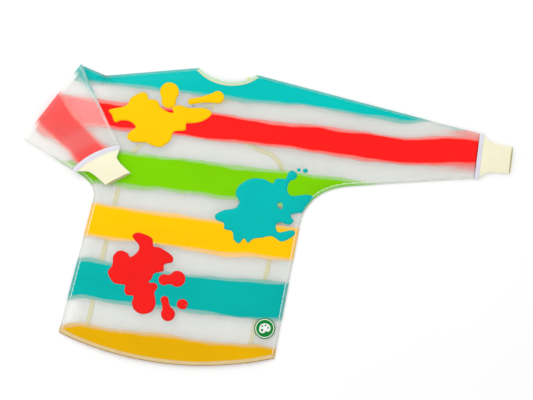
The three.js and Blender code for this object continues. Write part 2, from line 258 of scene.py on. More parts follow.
# Runs of the outline, each from one corner to the next, clockwise.
NECK = neck_run(-NECK_HALF_WIDTH, NECK_HALF_WIDTH)
RIGHT_SHOULDER = np.array((SHOULDER, WRIST_TOP))
RIGHT_UNDERARM = np.vstack(
    (WRIST_BOTTOM, quadratic(SLEEVE_ROOT - UNDER_WAY * UNDERARM_REACH, SLEEVE_ROOT, RIGHT_CHEST))
)
RIGHT_SIDE = np.array((RIGHT_CHEST, laid(HEM_HALF_WIDTH, hem_height(HEM_HALF_WIDTH))))
HEM = hem_run(HEM_HALF_WIDTH, -HEM_HALF_WIDTH)
LEFT_SIDE = np.array((laid(-HEM_HALF_WIDTH, hem_height(HEM_HALF_WIDTH)), LEFT_CHEST))
LEFT_UNDER_WAY = unit(LEFT_FOLD_BOTTOM - LEFT_ROOT)
LEFT_UNDERARM = np.vstack(
    (quadratic(LEFT_CHEST, LEFT_ROOT, LEFT_ROOT + LEFT_UNDER_WAY * UNDERARM_REACH / 2), LEFT_FOLD_BOTTOM)
)
LEFT_SHOULDER = np.array((LEFT_FOLD_TOP, PINCH, -SHOULDER))

BACK_EDGE_REACH = CHEST_HALF_WIDTH - BACK_STRIP_WIDTH
BACK_TIP = vec(FLAP_HINGE_REACH, neck_y(FLAP_HINGE_REACH))


def yoke_curve(side):
    return quadratic(
        laid(side * (BACK_EDGE_REACH - YOKE_CORNER), -YOKE_DEPTH - YOKE_CORNER * 0.25),
        laid(side * BACK_EDGE_REACH, -YOKE_DEPTH - YOKE_CORNER * 0.3),
        laid(side * BACK_EDGE_REACH, -YOKE_DEPTH - YOKE_CORNER * 1.9),
    )


def back_foot(side):
    return laid(side * BACK_EDGE_REACH, hem_height(BACK_EDGE_REACH))


LEFT_BACK_EDGE = np.vstack((BACK_TIP, LEFT_YOKE_TIP, LEFT_YOKE_BEND, yoke_curve(-1), back_foot(-1)))
RIGHT_BACK_EDGE = np.vstack((back_foot(1), yoke_curve(1)[::-1], vec(FLAP_HINGE_REACH, -YOKE_DEPTH)))

# ---------------------------------------------------------------------------------------------------------
# Paths, distances and heights.


def resample(points, step):
    """The open polyline with a point at each corner and about every step between."""
    out = [points[0]]
    for a, b in zip(points[:-1], points[1:]):
        count = max(1, math.ceil(np.linalg.norm(b - a) / step))
        out.extend(a + (b - a) * i / count for i in range(1, count + 1))
    return np.array(out)


def ways_of(path):
    """The unit way of an open path at each of its points."""
    return units(np.gradient(np.asarray(path, float), axis=0))


def normals(points):
    """Unit normals to the right of an open path, which is inwards on a clockwise outline."""
    ways = ways_of(points)
    return np.column_stack((ways[:, 1], -ways[:, 0]))


def offset(points, distance):
    return points + normals(points) * distance


def distance_to(points, path):
    """The distance from each point to the nearest place on an open polyline."""
    best = np.full(len(points), 1e9)
    for a, b in zip(path[:-1], path[1:]):
        span = b - a
        t = np.clip(((points - a) @ span) / (span @ span), 0, 1)
        best = np.minimum(best, np.linalg.norm(points - a - t[:, None] * span, axis=1))
    return best


def inside(points, polygon):
    x, y = points[:, 0], points[:, 1]
    odd = np.zeros(len(points), bool)
    for a, b in zip(polygon, np.roll(polygon, -1, axis=0)):
        crosses = (a[1] > y) != (b[1] > y)
        reach = (b[0] - a[0]) * (y - a[1]) / (b[1] - a[1] + 1e-12) + a[0]
        odd ^= crosses & (x < reach)
    return odd


def rumple(points, size, seed):
    """Smooth noise from -1 to 1 over the points, with bumps of about the given size."""
    return np.array([noise.noise(Vector((x / size, y / size, seed))) for x, y in points])


# Creases left by packing: a place on the line, its heading, half length, half width and height.
CREASES = (
    (vec(-152, -330), 93, 230, 4.0, 1.0),
    (vec(-42, -300), 94, 260, 3.5, 1.2),
    (vec(62, -260), 95, 230, 3.5, 1.1),
    (vec(150, -130), 92, 90, 4.5, 0.9),
    (vec(235, -110), 88, 50, 5.0, 0.9),
    (vec(-10, -500), 20, 90, 4.5, 0.9),
    (vec(-120, -510), 160, 60, 5.0, 0.8),
    (vec(90, -520), 65, 60, 4.0, 0.8),
    (vec(-60, -390), 12, 50, 4.0, 0.7),
)


def crease_height(points):
    total = np.zeros(len(points))
    for middle, turn, half_length, half_width, height in CREASES:
        way = heading(turn)
        along = (points - middle) @ way
        across = (points - middle) @ left_of(way) + 4 * np.sin(along / 37)
        fade = 1 - smooth(np.abs(along), half_length * 0.5, half_length)
        total += height * np.exp(-((across / half_width) ** 2)) * fade
    return total


def pinch_fan(points):
    """Distances from the pinched left shoulder, and the height from -1 to 1 of the folds that fan from it."""
    away = points - PINCH
    return np.linalg.norm(away, axis=1), np.sin(9 * np.arctan2(away[:, 1], away[:, 0]) + 1.3)


def pinch_folds(points):
    reach, fold = pinch_fan(points)
    return 1.8 * fold * np.exp(-reach / 26) * smooth(reach, 1, 9)


def wrist_crinkles(across, gap, seed):
    """Gathers that run from the cuff seam up the sleeve: across is the place round the wrist."""
    wave = np.sin(across / 2.6 + 2.2 * np.sin(across / 9.0 + seed) + gap / 17)
    return wave * np.exp(-gap / 15)


WELDED = (RIGHT_SHOULDER, RIGHT_UNDERARM, RIGHT_SIDE, LEFT_SIDE, LEFT_UNDERARM, LEFT_SHOULDER)
LEFT_FOLD = np.array((LEFT_FOLD_BOTTOM, LEFT_FOLD_TOP))


def weld_gap(points):
    return np.minimum.reduce([distance_to(points, run) for run in WELDED])


def edge_gaps(points):
    """The distances from each point to the inner side of the nearest weld, to the fold and to the wrist."""
    fold_gap = np.maximum(distance_to(points, LEFT_FOLD) - FOLD_TUCK, 0)
    return weld_gap(points) - SEAM_WIDTH, fold_gap, np.maximum(SLEEVE_REACH - points[:, 0], 0)


def front_height(points):
    """The front ply, domed between its welds and lower at the fold, the neck and the hem."""
    gap, fold_gap, wrist_gap = edge_gaps(points)
    top = DOME_LEVEL - 3.2 * np.exp(-wrist_gap / 40)
    flange = between(FLANGE_LEVEL, RIGHT_CUFF_LEVEL, np.exp(-wrist_gap / 45))
    seam_share = 1 - np.exp(-np.maximum(gap, 0) / 16)
    fold_share = 1 - np.exp(-fold_gap / 16)
    height = between(FOLD_FRONT_LEVEL, between(flange, top, seam_share), fold_share)
    for level, run in ((NECK_LEVEL, NECK), (HEM_LEVEL, HEM)):
        height += (level - DOME_LEVEL) * seam_share * np.exp(-distance_to(points, run) / 22)
    wave = 1.1 * rumple(points, 85, 1.5) + 0.5 * rumple(points, 31, 4.5) + crease_height(points)
    wave += 1.2 * wrist_crinkles(points[:, 1], wrist_gap, 0.4) + pinch_folds(points)
    return height + wave * seam_share * fold_share * 0.8


def back_height(points):
    """The back ply, nearly flat on the surface, lifted a little over the closure."""
    gap, fold_gap, wrist_gap = edge_gaps(points)
    inner = smooth(np.minimum(gap, fold_gap), 0, 18)
    wave = 0.35 * rumple(points, 60, 8.5) + 0.5 * wrist_crinkles(points[:, 1], wrist_gap, 2.0)
    closure_gap = np.linalg.norm(points - STRIP_CENTRE, axis=1)
    lift = 2.4 * np.exp(-((closure_gap / 42) ** 2))
    return BACK_LEVEL + (wave + lift) * inner


def lifted(points, height):
    return np.column_stack((points, height))


def to_row(points):
    """The places in the row's frame, in metres, of 3-D points of the garment in millimetres."""
    return np.asarray(points) * MM + (CENTRE_LINE, SHOULDER_LINE, 0)


# ---------------------------------------------------------------------------------------------------------
# Mesh makers.


def new_object(name, mesh, material=None, shade=True):
    piece = bpy.data.objects.new(name, mesh)
    bpy.context.scene.collection.objects.link(piece)
    if material:
        mesh.materials.append(material)
    if shade:
        mesh.polygons.foreach_set("use_smooth", [True] * len(mesh.polygons))
    return piece


def mesh_of(name, verts, faces, edges=()):
    mesh = bpy.data.meshes.new(name)
    mesh.from_pydata([tuple(v) for v in verts], list(edges), [tuple(int(i) for i in f) for f in faces])
    mesh.validate()
    mesh.update()
    return mesh


def apply_modifiers(piece):
    """Bakes the live modifiers into the piece's mesh."""
    graph = bpy.context.evaluated_depsgraph_get()
    made = bpy.data.meshes.new_from_object(piece.evaluated_get(graph), depsgraph=graph)
    piece.modifiers.clear()
    piece.data = made
    return piece


def thicken(piece, thickness, offset=0, even=True, lining=None):
    """Gives an open sheet its wall, with the faces outwards: offset 0 puts half to each side."""
    wall = piece.modifiers.new("Wall", "SOLIDIFY")
    wall.thickness = thickness * MM
    wall.offset = offset
    wall.use_even_offset = even
    if lining:
        piece.data.materials.append(lining)
        wall.material_offset = 1
    return apply_modifiers(piece)


def set_uv(mesh, name, uv_of_vertex):
    layer = mesh.uv_layers.new(name=name)
    loops = np.empty(len(mesh.loops), np.int32)
    mesh.loops.foreach_get("vertex_index", loops)
    layer.data.foreach_set("uv", np.asarray(uv_of_vertex, np.float32)[loops].ravel())


def set_value(mesh, name, values):
    layer = mesh.attributes.new(name, "FLOAT", "POINT")
    layer.data.foreach_set("value", np.asarray(values, np.float32))


def quads(count, across, closed=False):
    """The faces between rows of vertices: closed joins the last of each row to its first."""
    index = np.arange(count * across).reshape(count, across)
    if closed:
        index = np.column_stack((index, index[:, 0]))
    return np.stack((index[:-1, :-1], index[:-1, 1:], index[1:, 1:], index[1:, :-1]), -1).reshape(-1, 4)


def grid_of(xs, ys):
    return np.stack(np.meshgrid(xs, ys), -1).reshape(-1, 2)


def triangulated(outline, spacing, holes=(), extra=None):
    """Points and triangles of a flat region: its outline, a hexagonal grid inside it, and extra points."""
    low, high = outline.min(0), outline.max(0)
    rows = np.arange(low[1], high[1], spacing * math.sqrt(0.75))
    grid = []
    for i, y in enumerate(rows):
        xs = np.arange(low[0] + (i % 2) * spacing / 2, high[0], spacing)
        grid.append(np.column_stack((xs, np.full(len(xs), y))))
    grid = np.vstack(grid)
    if extra is not None:
        grid = np.vstack((grid, extra))
    rims = [outline, *holes]
    keep = inside(grid, outline)
    for hole in holes:
        keep &= ~inside(grid, hole)
    grid = grid[keep]
    closed = [np.vstack((rim, rim[:1])) for rim in rims]
    clear = np.minimum.reduce([distance_to(grid, rim) for rim in closed])
    grid = grid[clear > spacing * 0.55]
    points, edges = [], []
    for rim in rims:
        start = len(points)
        points.extend(rim)
        edges.extend((start + i, start + (i + 1) % len(rim)) for i in range(len(rim)))
    points.extend(grid)
    verts, _, faces, _, _, _ = delaunay_2d_cdt([Vector(p) for p in points], edges, [], 1, 1e-4)
    verts = np.array([tuple(v) for v in verts])
    faces = np.array([f[:3] for f in faces])
    if holes:
        centres = verts[faces].mean(1)
        solid = np.ones(len(faces), bool)
        for hole in holes:
            solid &= ~inside(centres, hole)
        faces = faces[solid]
    a, b, c = (verts[faces[:, i]] for i in range(3))
    turn = (b[:, 0] - a[:, 0]) * (c[:, 1] - a[:, 1]) - (b[:, 1] - a[:, 1]) * (c[:, 0] - a[:, 0])
    faces[turn < 0] = faces[turn < 0][:, ::-1]
    return verts, faces


def pattern_of(points):
    """Where each point of the lay is on the printed pattern, in metres."""
    x, y = points[:, 0], points[:, 1]
    middle = x - LAY_SKEW * y
    sag = 6 * (1 - (middle / HEM_HALF_WIDTH) ** 2) * smooth(-y, 250, 300)
    drop = 16 * smooth(x, 360, 500) - 34 * smooth(-x, 225, 320) * smooth(-y, 130, 190)
    return np.column_stack((x, y + sag - drop)) * MM


def pinch_shade(points):
    """How much painted shade darkens the print in the folds of the pinched left shoulder, from 0 to 1."""
    reach, fold = pinch_fan(points)
    return np.exp(-reach / 13) * (0.6 + 0.4 * fold)


def under_fold(points):
    """1 where the ply lies under the folded sleeve and is pressed to it, fading to 0 at the folded edge."""
    return smooth(-points[:, 0], 222, 262)


def seam_roll_highlight(points):
    """Where the film rolls over at a seam, how much painted highlight it catches: none along the shoulders.
    """
    return smooth(-points[:, 1], 140, 185)


def wrist_red_shadow(points):
    """How much painted red-tinted shadow lies below the band at the right wrist, from 0 to 0.8."""
    depth = pattern_of(points)[:, 1] / MM
    return smooth(points[:, 0], 405, 500) * smooth(depth, -166, -146) * 0.8


def weld_share(gap):
    """1 at a weld, fading to 0 a little past it."""
    return np.clip(1 - gap / (SEAM_WIDTH * 1.4), 0, 1)


def film_piece(name, points, faces, pattern, values, material, thickness):
    """A ply of film with its wall, its place on the pattern, and the values that its material reads."""
    mesh = mesh_of(name, to_row(points), faces)
    set_uv(mesh, "Pattern", pattern)
    for key, value in values.items():
        set_value(mesh, key, value.ravel())
    return thicken(new_object(name, mesh, material), thickness)


def film_sheet(name, outline, height, spacing, material, thickness, extra=None):
    """A ply of film over a region, at a height given by a function."""
    points, faces = triangulated(outline, spacing, extra=extra)
    values = {
        "Weld": weld_share(weld_gap(points)),
        "Pinch": pinch_shade(points),
        "Flush": wrist_red_shadow(points),
        "Under": under_fold(points),
        "Roll": seam_roll_highlight(points),
    }
    lay = lifted(points, height(points))
    return film_piece(name, lay, faces, pattern_of(points), values, material, thickness)


def squared(wave, power):
    """A sine or cosine made fuller, for a section between an ellipse and a rectangle."""
    return np.sign(wave) * np.abs(wave) ** power


def sweep(name, path, across, width, thickness, material, sides=14, square=0.6):
    """A flat rounded band along a path of 3-D garment points: across is the way its width runs."""
    ways = ways_of(path)
    across = units(across - (across * ways).sum(1)[:, None] * ways)
    up = np.cross(ways, across)
    turns = np.linspace(0, 2 * math.pi, sides, endpoint=False)
    c, s = np.cos(turns), np.sin(turns)
    flat = squared(c, square) * width / 2
    tall = squared(s, 0.8) * thickness / 2
    rings = path[:, None, :] + across[:, None, :] * flat[None, :, None] + up[:, None, :] * tall[None, :, None]
    verts = rings.reshape(-1, 3)
    ends = range(sides)[::-1], range(len(verts) - sides, len(verts))
    faces = [*quads(len(path), sides, closed=True), *ends]
    mesh = mesh_of(name, to_row(verts), faces)
    lengths = np.concatenate(([0], np.cumsum(np.linalg.norm(np.diff(path, axis=0), axis=1))))
    uv = np.stack(np.broadcast_arrays(lengths[:, None], (flat + width / 2)[None, :]), -1) * MM
    set_uv(mesh, "Run", uv.reshape(-1, 2))
    return new_object(name, mesh, material)


# ---------------------------------------------------------------------------------------------------------
# Materials.


def linear(colour, dim=1.0):
    """A display colour, as 0 to 1 sRGB and dimmed, in the linear values that shaders take."""
    parts = [c * dim for c in colour]
    return tuple(c / 12.92 if c <= 0.04045 else ((c + 0.055) / 1.055) ** 2.4 for c in parts) + (1.0,)


def tree_of(name):
    """A new material and its node tree, with a bare shader in it."""
    material = bpy.data.materials.new(name)
    material.use_nodes = True
    nodes = material.node_tree.nodes
    nodes.clear()
    shader = nodes.new("ShaderNodeBsdfPrincipled")
    out = nodes.new("ShaderNodeOutputMaterial")
    material.node_tree.links.new(shader.outputs["BSDF"], out.inputs["Surface"])
    return material, material.node_tree


def fill(tree, made, inputs):
    """Gives a node its inputs: each is a value, or a socket to link from."""
    for key, value in inputs.items():
        socket = made.inputs[int(key[1:])] if key[0] == "_" else made.inputs[key.replace("_", " ")]
        if isinstance(value, bpy.types.NodeSocket):
            tree.links.new(value, socket)
        else:
            socket.default_value = value
    return made


def node(tree, kind, settings=(), **inputs):
    made = tree.nodes.new(kind)
    for key, value in settings:
        setattr(made, key, value)
    return fill(tree, made, inputs)


def finished(material, **inputs):
    """The material, with its shader's inputs filled."""
    fill(material.node_tree, material.node_tree.nodes["Principled BSDF"], inputs)
    return material


def maths(tree, operation, a, b=0.0, c=0.0):
    return node(tree, "ShaderNodeMath", [("operation", operation)], _0=a, _1=b, _2=c).outputs[0]


def weighed(tree, a, b, share):
    """The first value by its share, and the second by the rest."""
    return maths(tree, "MULTIPLY_ADD", a, share, maths(tree, "MULTIPLY", b, 1 - share))


def mix_colour(tree, share, a, b):
    return node(tree, "ShaderNodeMix", [("data_type", "RGBA")], _0=share, _6=a, _7=b).outputs[2]


def mix_value(tree, share, a, b):
    return node(tree, "ShaderNodeMix", [("data_type", "FLOAT")], _0=share, _2=a, _3=b).outputs[0]


def toned(tree, share, colour, dim):
    """A colour that runs from dimmed to full."""
    return mix_colour(tree, share, linear(colour, dim), linear(colour))


def ramp(tree, value, stops, interpolation="LINEAR"):
    made = node(tree, "ShaderNodeValToRGB", Fac=value)
    made.color_ramp.interpolation = interpolation
    elements = made.color_ramp.elements
    elements[0].position, elements[0].color = stops[0]
    elements[1].position, elements[1].color = stops[-1]
    for position, colour in stops[1:-1]:
        elements.new(position).color = colour
    return made.outputs["Color"]


def bump(tree, height, strength, distance=0.0003):
    return node(tree, "ShaderNodeBump", Height=height, Strength=strength, Distance=distance).outputs["Normal"]


def attribute(tree, name):
    return node(tree, "ShaderNodeAttribute", [("attribute_name", name)]).outputs["Fac"]


def map_place(tree, name):
    return node(tree, "ShaderNodeUVMap", [("uv_map", name)]).outputs["UV"]


def object_place(tree):
    return node(tree, "ShaderNodeTexCoord").outputs["Object"]


def mottle(tree, place, scale, detail, dimensions="3D"):
    """Soft noise from 0 to 1."""
    settings = [("noise_dimensions", dimensions)]
    return node(tree, "ShaderNodeTexNoise", settings, Vector=place, Scale=scale, Detail=detail).outputs["Fac"]


def stripes(tree, place, scale, distortion, detail=2.0, direction="X"):
    """Soft stripes from 0 to 1."""
    settings = [("bands_direction", direction)]
    inputs = {"Vector": place, "Scale": scale, "Distortion": distortion, "Detail": detail}
    return node(tree, "ShaderNodeTexWave", settings, **inputs).outputs["Fac"]


# The printed bands, from the shoulder to the hem: top, bottom and the name of the ink.
BANDS = (
    (20, -50, "teal"),
    (-92, -137, "red"),
    (-190, -247, "green"),
    (-297, -353, "yellow"),
    (-409, -476, "low_teal"),
    (-538, -640, "amber"),
)
PATTERN_TOP = BANDS[0][0]
PATTERN_SPAN = PATTERN_TOP - BANDS[-1][1]


def band_place(depth):
    return min(1.0, max(0.0, (PATTERN_TOP - depth) / PATTERN_SPAN))


def band_mask(tree, place, spread, softness):
    """A ramp over the pattern that is white inside the bands, widened by spread, with soft edges."""
    stops = []
    for top, bottom, _ in BANDS:
        for depth, start in ((top + spread, 0), (bottom - spread, 1)):
            for side, share in ((softness, start), (-softness, 1 - start)):
                at = band_place(depth + side)
                if 0 < at < 1:
                    stops.append((at, (share, share, share, 1)))
    return ramp(tree, place, [(0.0, (1, 1, 1, 1)), *stops, (1.0, (1, 1, 1, 1))])


def printed_film(name, tones, inks, ply_alpha, ink_alpha, softness, ghost_alpha, ghost_tint):
    """Frosted film with its printed bands, read from the piece's own pattern map.

    Tones are the film's colours in shade and in light. The ghost is the pale second edge of each band."""
    material, tree = tree_of(name)
    uv = map_place(tree, "Pattern")

    def waves(along, down, detail, location=(0.0, 0.0, 0.0)):
        place = node(tree, "ShaderNodeMapping", Vector=uv, Scale=(along, down, 1.0), Location=location)
        return mottle(tree, place.outputs[0], 1.0, detail, "2D")

    def moved(depth, wave, reach):
        return maths(tree, "ADD", depth, maths(tree, "MULTIPLY_ADD", wave, reach, -reach / 2))

    def ramp_place(depth):
        return maths(tree, "MULTIPLY_ADD", depth, -1 / (PATTERN_SPAN * MM), PATTERN_TOP / PATTERN_SPAN)

    depth = moved(node(tree, "ShaderNodeSeparateXYZ", Vector=uv).outputs["Y"], waves(9.0, 26.0, 2.0), 0.014)
    far_depth = moved(depth, waves(7.0, 31.0, 1.0, (3.1, 1.7, 0.0)), 0.012)
    place = ramp_place(depth)
    ink = band_mask(tree, place, 0, softness)
    edge = band_mask(tree, ramp_place(far_depth), 6.0, softness + 0.4)
    # Painted red-tinted shadow below the band at the right wrist, laid in with the printed ghost edges.
    ghost = maths(tree, "MAXIMUM", edge, attribute(tree, "Flush"))
    stops = [(0.0, linear(getattr(inks, BANDS[0][2])))]
    for upper, lower in zip(BANDS[:-1], BANDS[1:]):
        stops.append((band_place((upper[1] + lower[0]) / 2), linear(getattr(inks, lower[2]))))
    level = maths(tree, "MULTIPLY_ADD", waves(5.0, 14.0, 3.0), 0.22, 0.89)
    # Painted shade darkens the print in the folds of the pinched left shoulder.
    level = maths(tree, "MULTIPLY_ADD", attribute(tree, "Pinch"), -0.75, level)
    ink_colour = node(
        tree, "ShaderNodeHueSaturation", Color=ramp(tree, place, stops, "CONSTANT"), Value=level
    ).outputs[0]
    haze = waves(11.0, 5.0, 4.0)
    clear = mix_colour(tree, haze, linear(tones[0]), linear(tones[1]))
    pale = mix_colour(tree, ghost_tint, (1.0, 1.0, 0.86, 1.0), ink_colour)
    printed = mix_colour(tree, ink, mix_colour(tree, ghost, clear, pale), ink_colour)
    weld = attribute(tree, "Weld")
    # A thin painted highlight line just inside the welds, where the film rolls over: it whitens the colour
    # and adds a little cover.
    roll_highlight = maths(tree, "MULTIPLY", maths(tree, "COMPARE", weld, 0.24, 0.09), attribute(tree, "Roll"))
    hazed = maths(tree, "MULTIPLY", maths(tree, "MULTIPLY_ADD", haze, 0.7, 0.65), ply_alpha)
    pressed = maths(tree, "MULTIPLY_ADD", attribute(tree, "Under"), -0.85, 1.0)
    clear_level = maths(tree, "MULTIPLY", hazed, pressed)
    ghost_level = maths(tree, "MAXIMUM", clear_level, maths(tree, "MULTIPLY", ghost, ghost_alpha))
    weld_level = maths(tree, "MULTIPLY_ADD", maths(tree, "MAXIMUM", weld, roll_highlight), 0.14, ghost_level)
    ink_level = maths(tree, "MULTIPLY_ADD", attribute(tree, "Gather"), 0.95 - ink_alpha, ink_alpha)
    return finished(
        material,
        Base_Color=mix_colour(tree, maths(tree, "MULTIPLY", roll_highlight, 0.5), printed, (1.0, 1.0, 1.0, 1.0)),
        Alpha=mix_value(tree, ink, weld_level, ink_level),
        Roughness=mix_value(tree, ink, 0.34, 0.3),
        Normal=bump(tree, mottle(tree, uv, 900.0, 2.0), 0.08),
        Specular_IOR_Level=mix_value(tree, ink, 0.2, 0.05),
    )


def cover(tree, haze, alpha):
    """A share of the light stopped, uneven with the haze."""
    return maths(tree, "MULTIPLY", maths(tree, "ADD", haze, 0.5), alpha)


def clear_film(name, tones, alpha):
    """Frosted film without print, a little uneven in how much it hides."""
    material, tree = tree_of(name)
    uv = map_place(tree, "Pattern")
    haze = mottle(tree, uv, 8.0, 4.0, "2D")
    return finished(
        material,
        Base_Color=mix_colour(tree, haze, linear(tones[0]), linear(tones[1])),
        Alpha=cover(tree, haze, alpha),
        Normal=bump(tree, mottle(tree, uv, 900.0, 2.0), 0.08),
        Roughness=0.34,
        Specular_IOR_Level=0.3,
    )


def welded_film(name, film):
    """Two plies fused into one: a little denser, whitened by painted highlight, with the fine cross ribs of
    the welding bar.
    """
    material, tree = tree_of(name)
    run = map_place(tree, "Run")
    haze = mottle(tree, run, 40.0, 3.0)
    return finished(
        material,
        Base_Color=mix_colour(tree, haze, linear(film.shade_colour), linear(film.weld_highlight_colour)),
        Alpha=cover(tree, haze, film.weld_alpha),
        Normal=bump(tree, stripes(tree, run, 180.0, 0.6, 1.0), 0.25),
        Roughness=0.25,
        Specular_IOR_Level=0.5,
    )


def ink_paint(name, colour):
    """Opaque glossy ink, laid on thick, with a slight brushed change of tone."""
    material, tree = tree_of(name)
    place = object_place(tree)
    return finished(
        material,
        Base_Color=toned(tree, mottle(tree, place, 14.0, 3.0), colour, 0.93),
        Normal=bump(tree, mottle(tree, place, 700.0, 2.0), 0.06),
        Roughness=0.3,
        Specular_IOR_Level=0.06,
    )


def bias_binding(name, colour, edge_colour_and_shade, width, edge_share=0.22):
    """Woven bias tape: a diagonal weave, and an edge colour over a share of the width on its outer side: the
    neck tape's turned edge in its own colour, painted shade on the cream tape, and a brown edge with painted
    shadow on the hem tape.
    """
    material, tree = tree_of(name)
    run = map_place(tree, "Run")
    turned = node(tree, "ShaderNodeMapping", Vector=run, Rotation=(0.0, 0.0, math.radians(45))).outputs[0]
    weave = maths(
        tree, "MULTIPLY", *(stripes(tree, turned, 420.0, 0.3, direction=direction) for direction in "XY")
    )
    share = node(
        tree, "ShaderNodeMapRange", Value=node(tree, "ShaderNodeSeparateXYZ", Vector=run).outputs["Y"],
        From_Min=width * MM * edge_share, From_Max=width * MM * (edge_share - 0.16),
    ).outputs[0]
    fade = maths(tree, "MULTIPLY", mottle(tree, run, 60.0, 3.0), 0.3)
    soft = mix_colour(tree, fade, toned(tree, weave, colour, 0.94), linear(edge_colour_and_shade))
    return finished(
        material,
        Base_Color=mix_colour(tree, share, soft, linear(edge_colour_and_shade)),
        Normal=bump(tree, weave, 0.5),
        Roughness=0.8,
        Sheen_Weight=0.2,
    )


def soft_thread(name, colour, roughness=0.75, scale=900.0):
    """Spun thread or knit: a fine twist in tone and relief."""
    material, tree = tree_of(name)
    place = object_place(tree)
    twist = mottle(tree, place, scale, 3.0)
    return finished(
        material,
        Base_Color=toned(tree, weighed(tree, twist, mottle(tree, place, 28.0, 3.0), 0.6), colour, 0.86),
        Normal=bump(tree, twist, 0.4, 0.0004),
        Roughness=roughness,
        Sheen_Weight=0.3,
    )


def rib_knit(name, colour):
    """Rib knit: rows of small stitches across raised ribs, with painted shade between the ribs, darker and
    warmer.
    """
    material, tree = tree_of(name)
    run = map_place(tree, "Run")
    shade = weighed(tree, mottle(tree, run, 35.0, 3.0), attribute(tree, "Rib"), 0.35)
    groove_shade = [c * s for c, s in zip(colour, (0.95, 0.94, 0.86))]
    relief = weighed(tree, stripes(tree, run, 260.0, 1.2), mottle(tree, run, 1400.0, 3.0), 0.5)
    return finished(
        material,
        Base_Color=mix_colour(tree, shade, linear(groove_shade), linear(colour)),
        Normal=bump(tree, relief, 0.35, 0.0005),
        Roughness=0.9,
        Sheen_Weight=0.3,
    )


def floor_material():
    material, tree = tree_of("pale_floor")
    speck = mottle(tree, object_place(tree), 3.0, 2.0)
    return finished(
        material,
        Base_Color=mix_colour(tree, speck, (0.93, 0.93, 0.93, 1), (0.95, 0.95, 0.95, 1)),
        Roughness=0.9,
        Specular_IOR_Level=0.0,
    )


def film_material(scene, kind):
    """The film of the kind asked for, made once."""
    made = bpy.data.materials.get(kind)
    if made:
        return made
    film, inks = scene.smock_film, scene.smock_inks
    folded = (film.colour, film.fold_colour)
    if kind == "front_film":
        tones = (film.shade_colour, film.colour)
        return printed_film(kind, tones, inks, film.front_alpha, 0.95, 0.5, 0.6, 0.76)
    if kind == "forearm_print":
        return printed_film(kind, folded, inks, film.sleeve_alpha * 2.5, 0.5, 3.0, 0.25, 0.5)
    return clear_film(kind, folded, film.sleeve_alpha if kind == "sleeve_film" else film.back_alpha)


# ---------------------------------------------------------------------------------------------------------
# What repeats: stitches and overlock loops.


def stitch_tree():
    """Small rounded stitches along a path, each turned to the path's own way attribute."""
    tree = bpy.data.node_groups.new("Stitch row", "GeometryNodeTree")
    face = tree.interface
    face.new_socket("Geometry", in_out="INPUT", socket_type="NodeSocketGeometry")
    for label, value in (("Pitch", 0.003), ("Stitch length", 0.0022), ("Thread", 0.0005)):
        socket = face.new_socket(label, in_out="INPUT", socket_type="NodeSocketFloat")
        socket.default_value = value
        socket.subtype = "DISTANCE"
    face.new_socket("Material", in_out="INPUT", socket_type="NodeSocketMaterial")
    face.new_socket("Geometry", in_out="OUTPUT", socket_type="NodeSocketGeometry")
    start = tree.nodes.new("NodeGroupInput")
    end = tree.nodes.new("NodeGroupOutput")
    to_curve = node(tree, "GeometryNodeMeshToCurve", Mesh=start.outputs["Geometry"])
    spaced = node(tree, "GeometryNodeResampleCurve", [("mode", "LENGTH")], Curve=to_curve.outputs[0])
    tree.links.new(start.outputs["Pitch"], spaced.inputs["Length"])
    way = node(tree, "GeometryNodeInputNamedAttribute", [("data_type", "FLOAT_VECTOR")], Name="way")
    turn = node(tree, "FunctionNodeAlignEulerToVector", [("axis", "X")], Vector=way.outputs["Attribute"])
    bead = node(tree, "GeometryNodeMeshUVSphere", Segments=6, Rings=5, Radius=0.5)
    size = node(tree, "ShaderNodeCombineXYZ", X=start.outputs["Stitch length"], Y=start.outputs["Thread"],
                Z=start.outputs["Thread"])
    shaped = node(tree, "GeometryNodeTransform", Geometry=bead.outputs["Mesh"], Scale=size.outputs[0])
    placed = node(tree, "GeometryNodeInstanceOnPoints", Points=spaced.outputs[0], Instance=shaped.outputs[0],
                  Rotation=turn.outputs[0])
    real = node(tree, "GeometryNodeRealizeInstances", Geometry=placed.outputs[0])
    smooth_out = node(tree, "GeometryNodeSetShadeSmooth", Geometry=real.outputs[0])
    finish = node(tree, "GeometryNodeSetMaterial", Geometry=smooth_out.outputs[0])
    tree.links.new(start.outputs["Material"], finish.inputs["Material"])
    tree.links.new(finish.outputs[0], end.inputs[0])
    return tree


def stitch_row(name, path, ways, material, pitch, length, thread, closed=False):
    """Stitches along a path of 3-D garment points, as one plain mesh."""
    tree = bpy.data.node_groups.get("Stitch row") or stitch_tree()
    count = len(path)
    edges = [(i, (i + 1) % count) for i in range(count if closed else count - 1)]
    mesh = mesh_of(name, to_row(path), [], edges)
    layer = mesh.attributes.new("way", "FLOAT_VECTOR", "POINT")
    layer.data.foreach_set("vector", np.asarray(ways, np.float32).ravel())
    piece = new_object(name, mesh, shade=False)
    row = piece.modifiers.new("Stitches", "NODES")
    row.node_group = tree
    values = {"Pitch": pitch * MM, "Stitch length": length * MM, "Thread": thread * MM, "Material": material}
    for item in tree.interface.items_tree:
        if item.item_type == "SOCKET" and item.in_out == "INPUT" and item.name in values:
            row[item.identifier] = values[item.name]
    return apply_modifiers(piece)


# ---------------------------------------------------------------------------------------------------------
# Paint splashes: rims from each splash's middle, in millimetres, rounded through a closed spline.

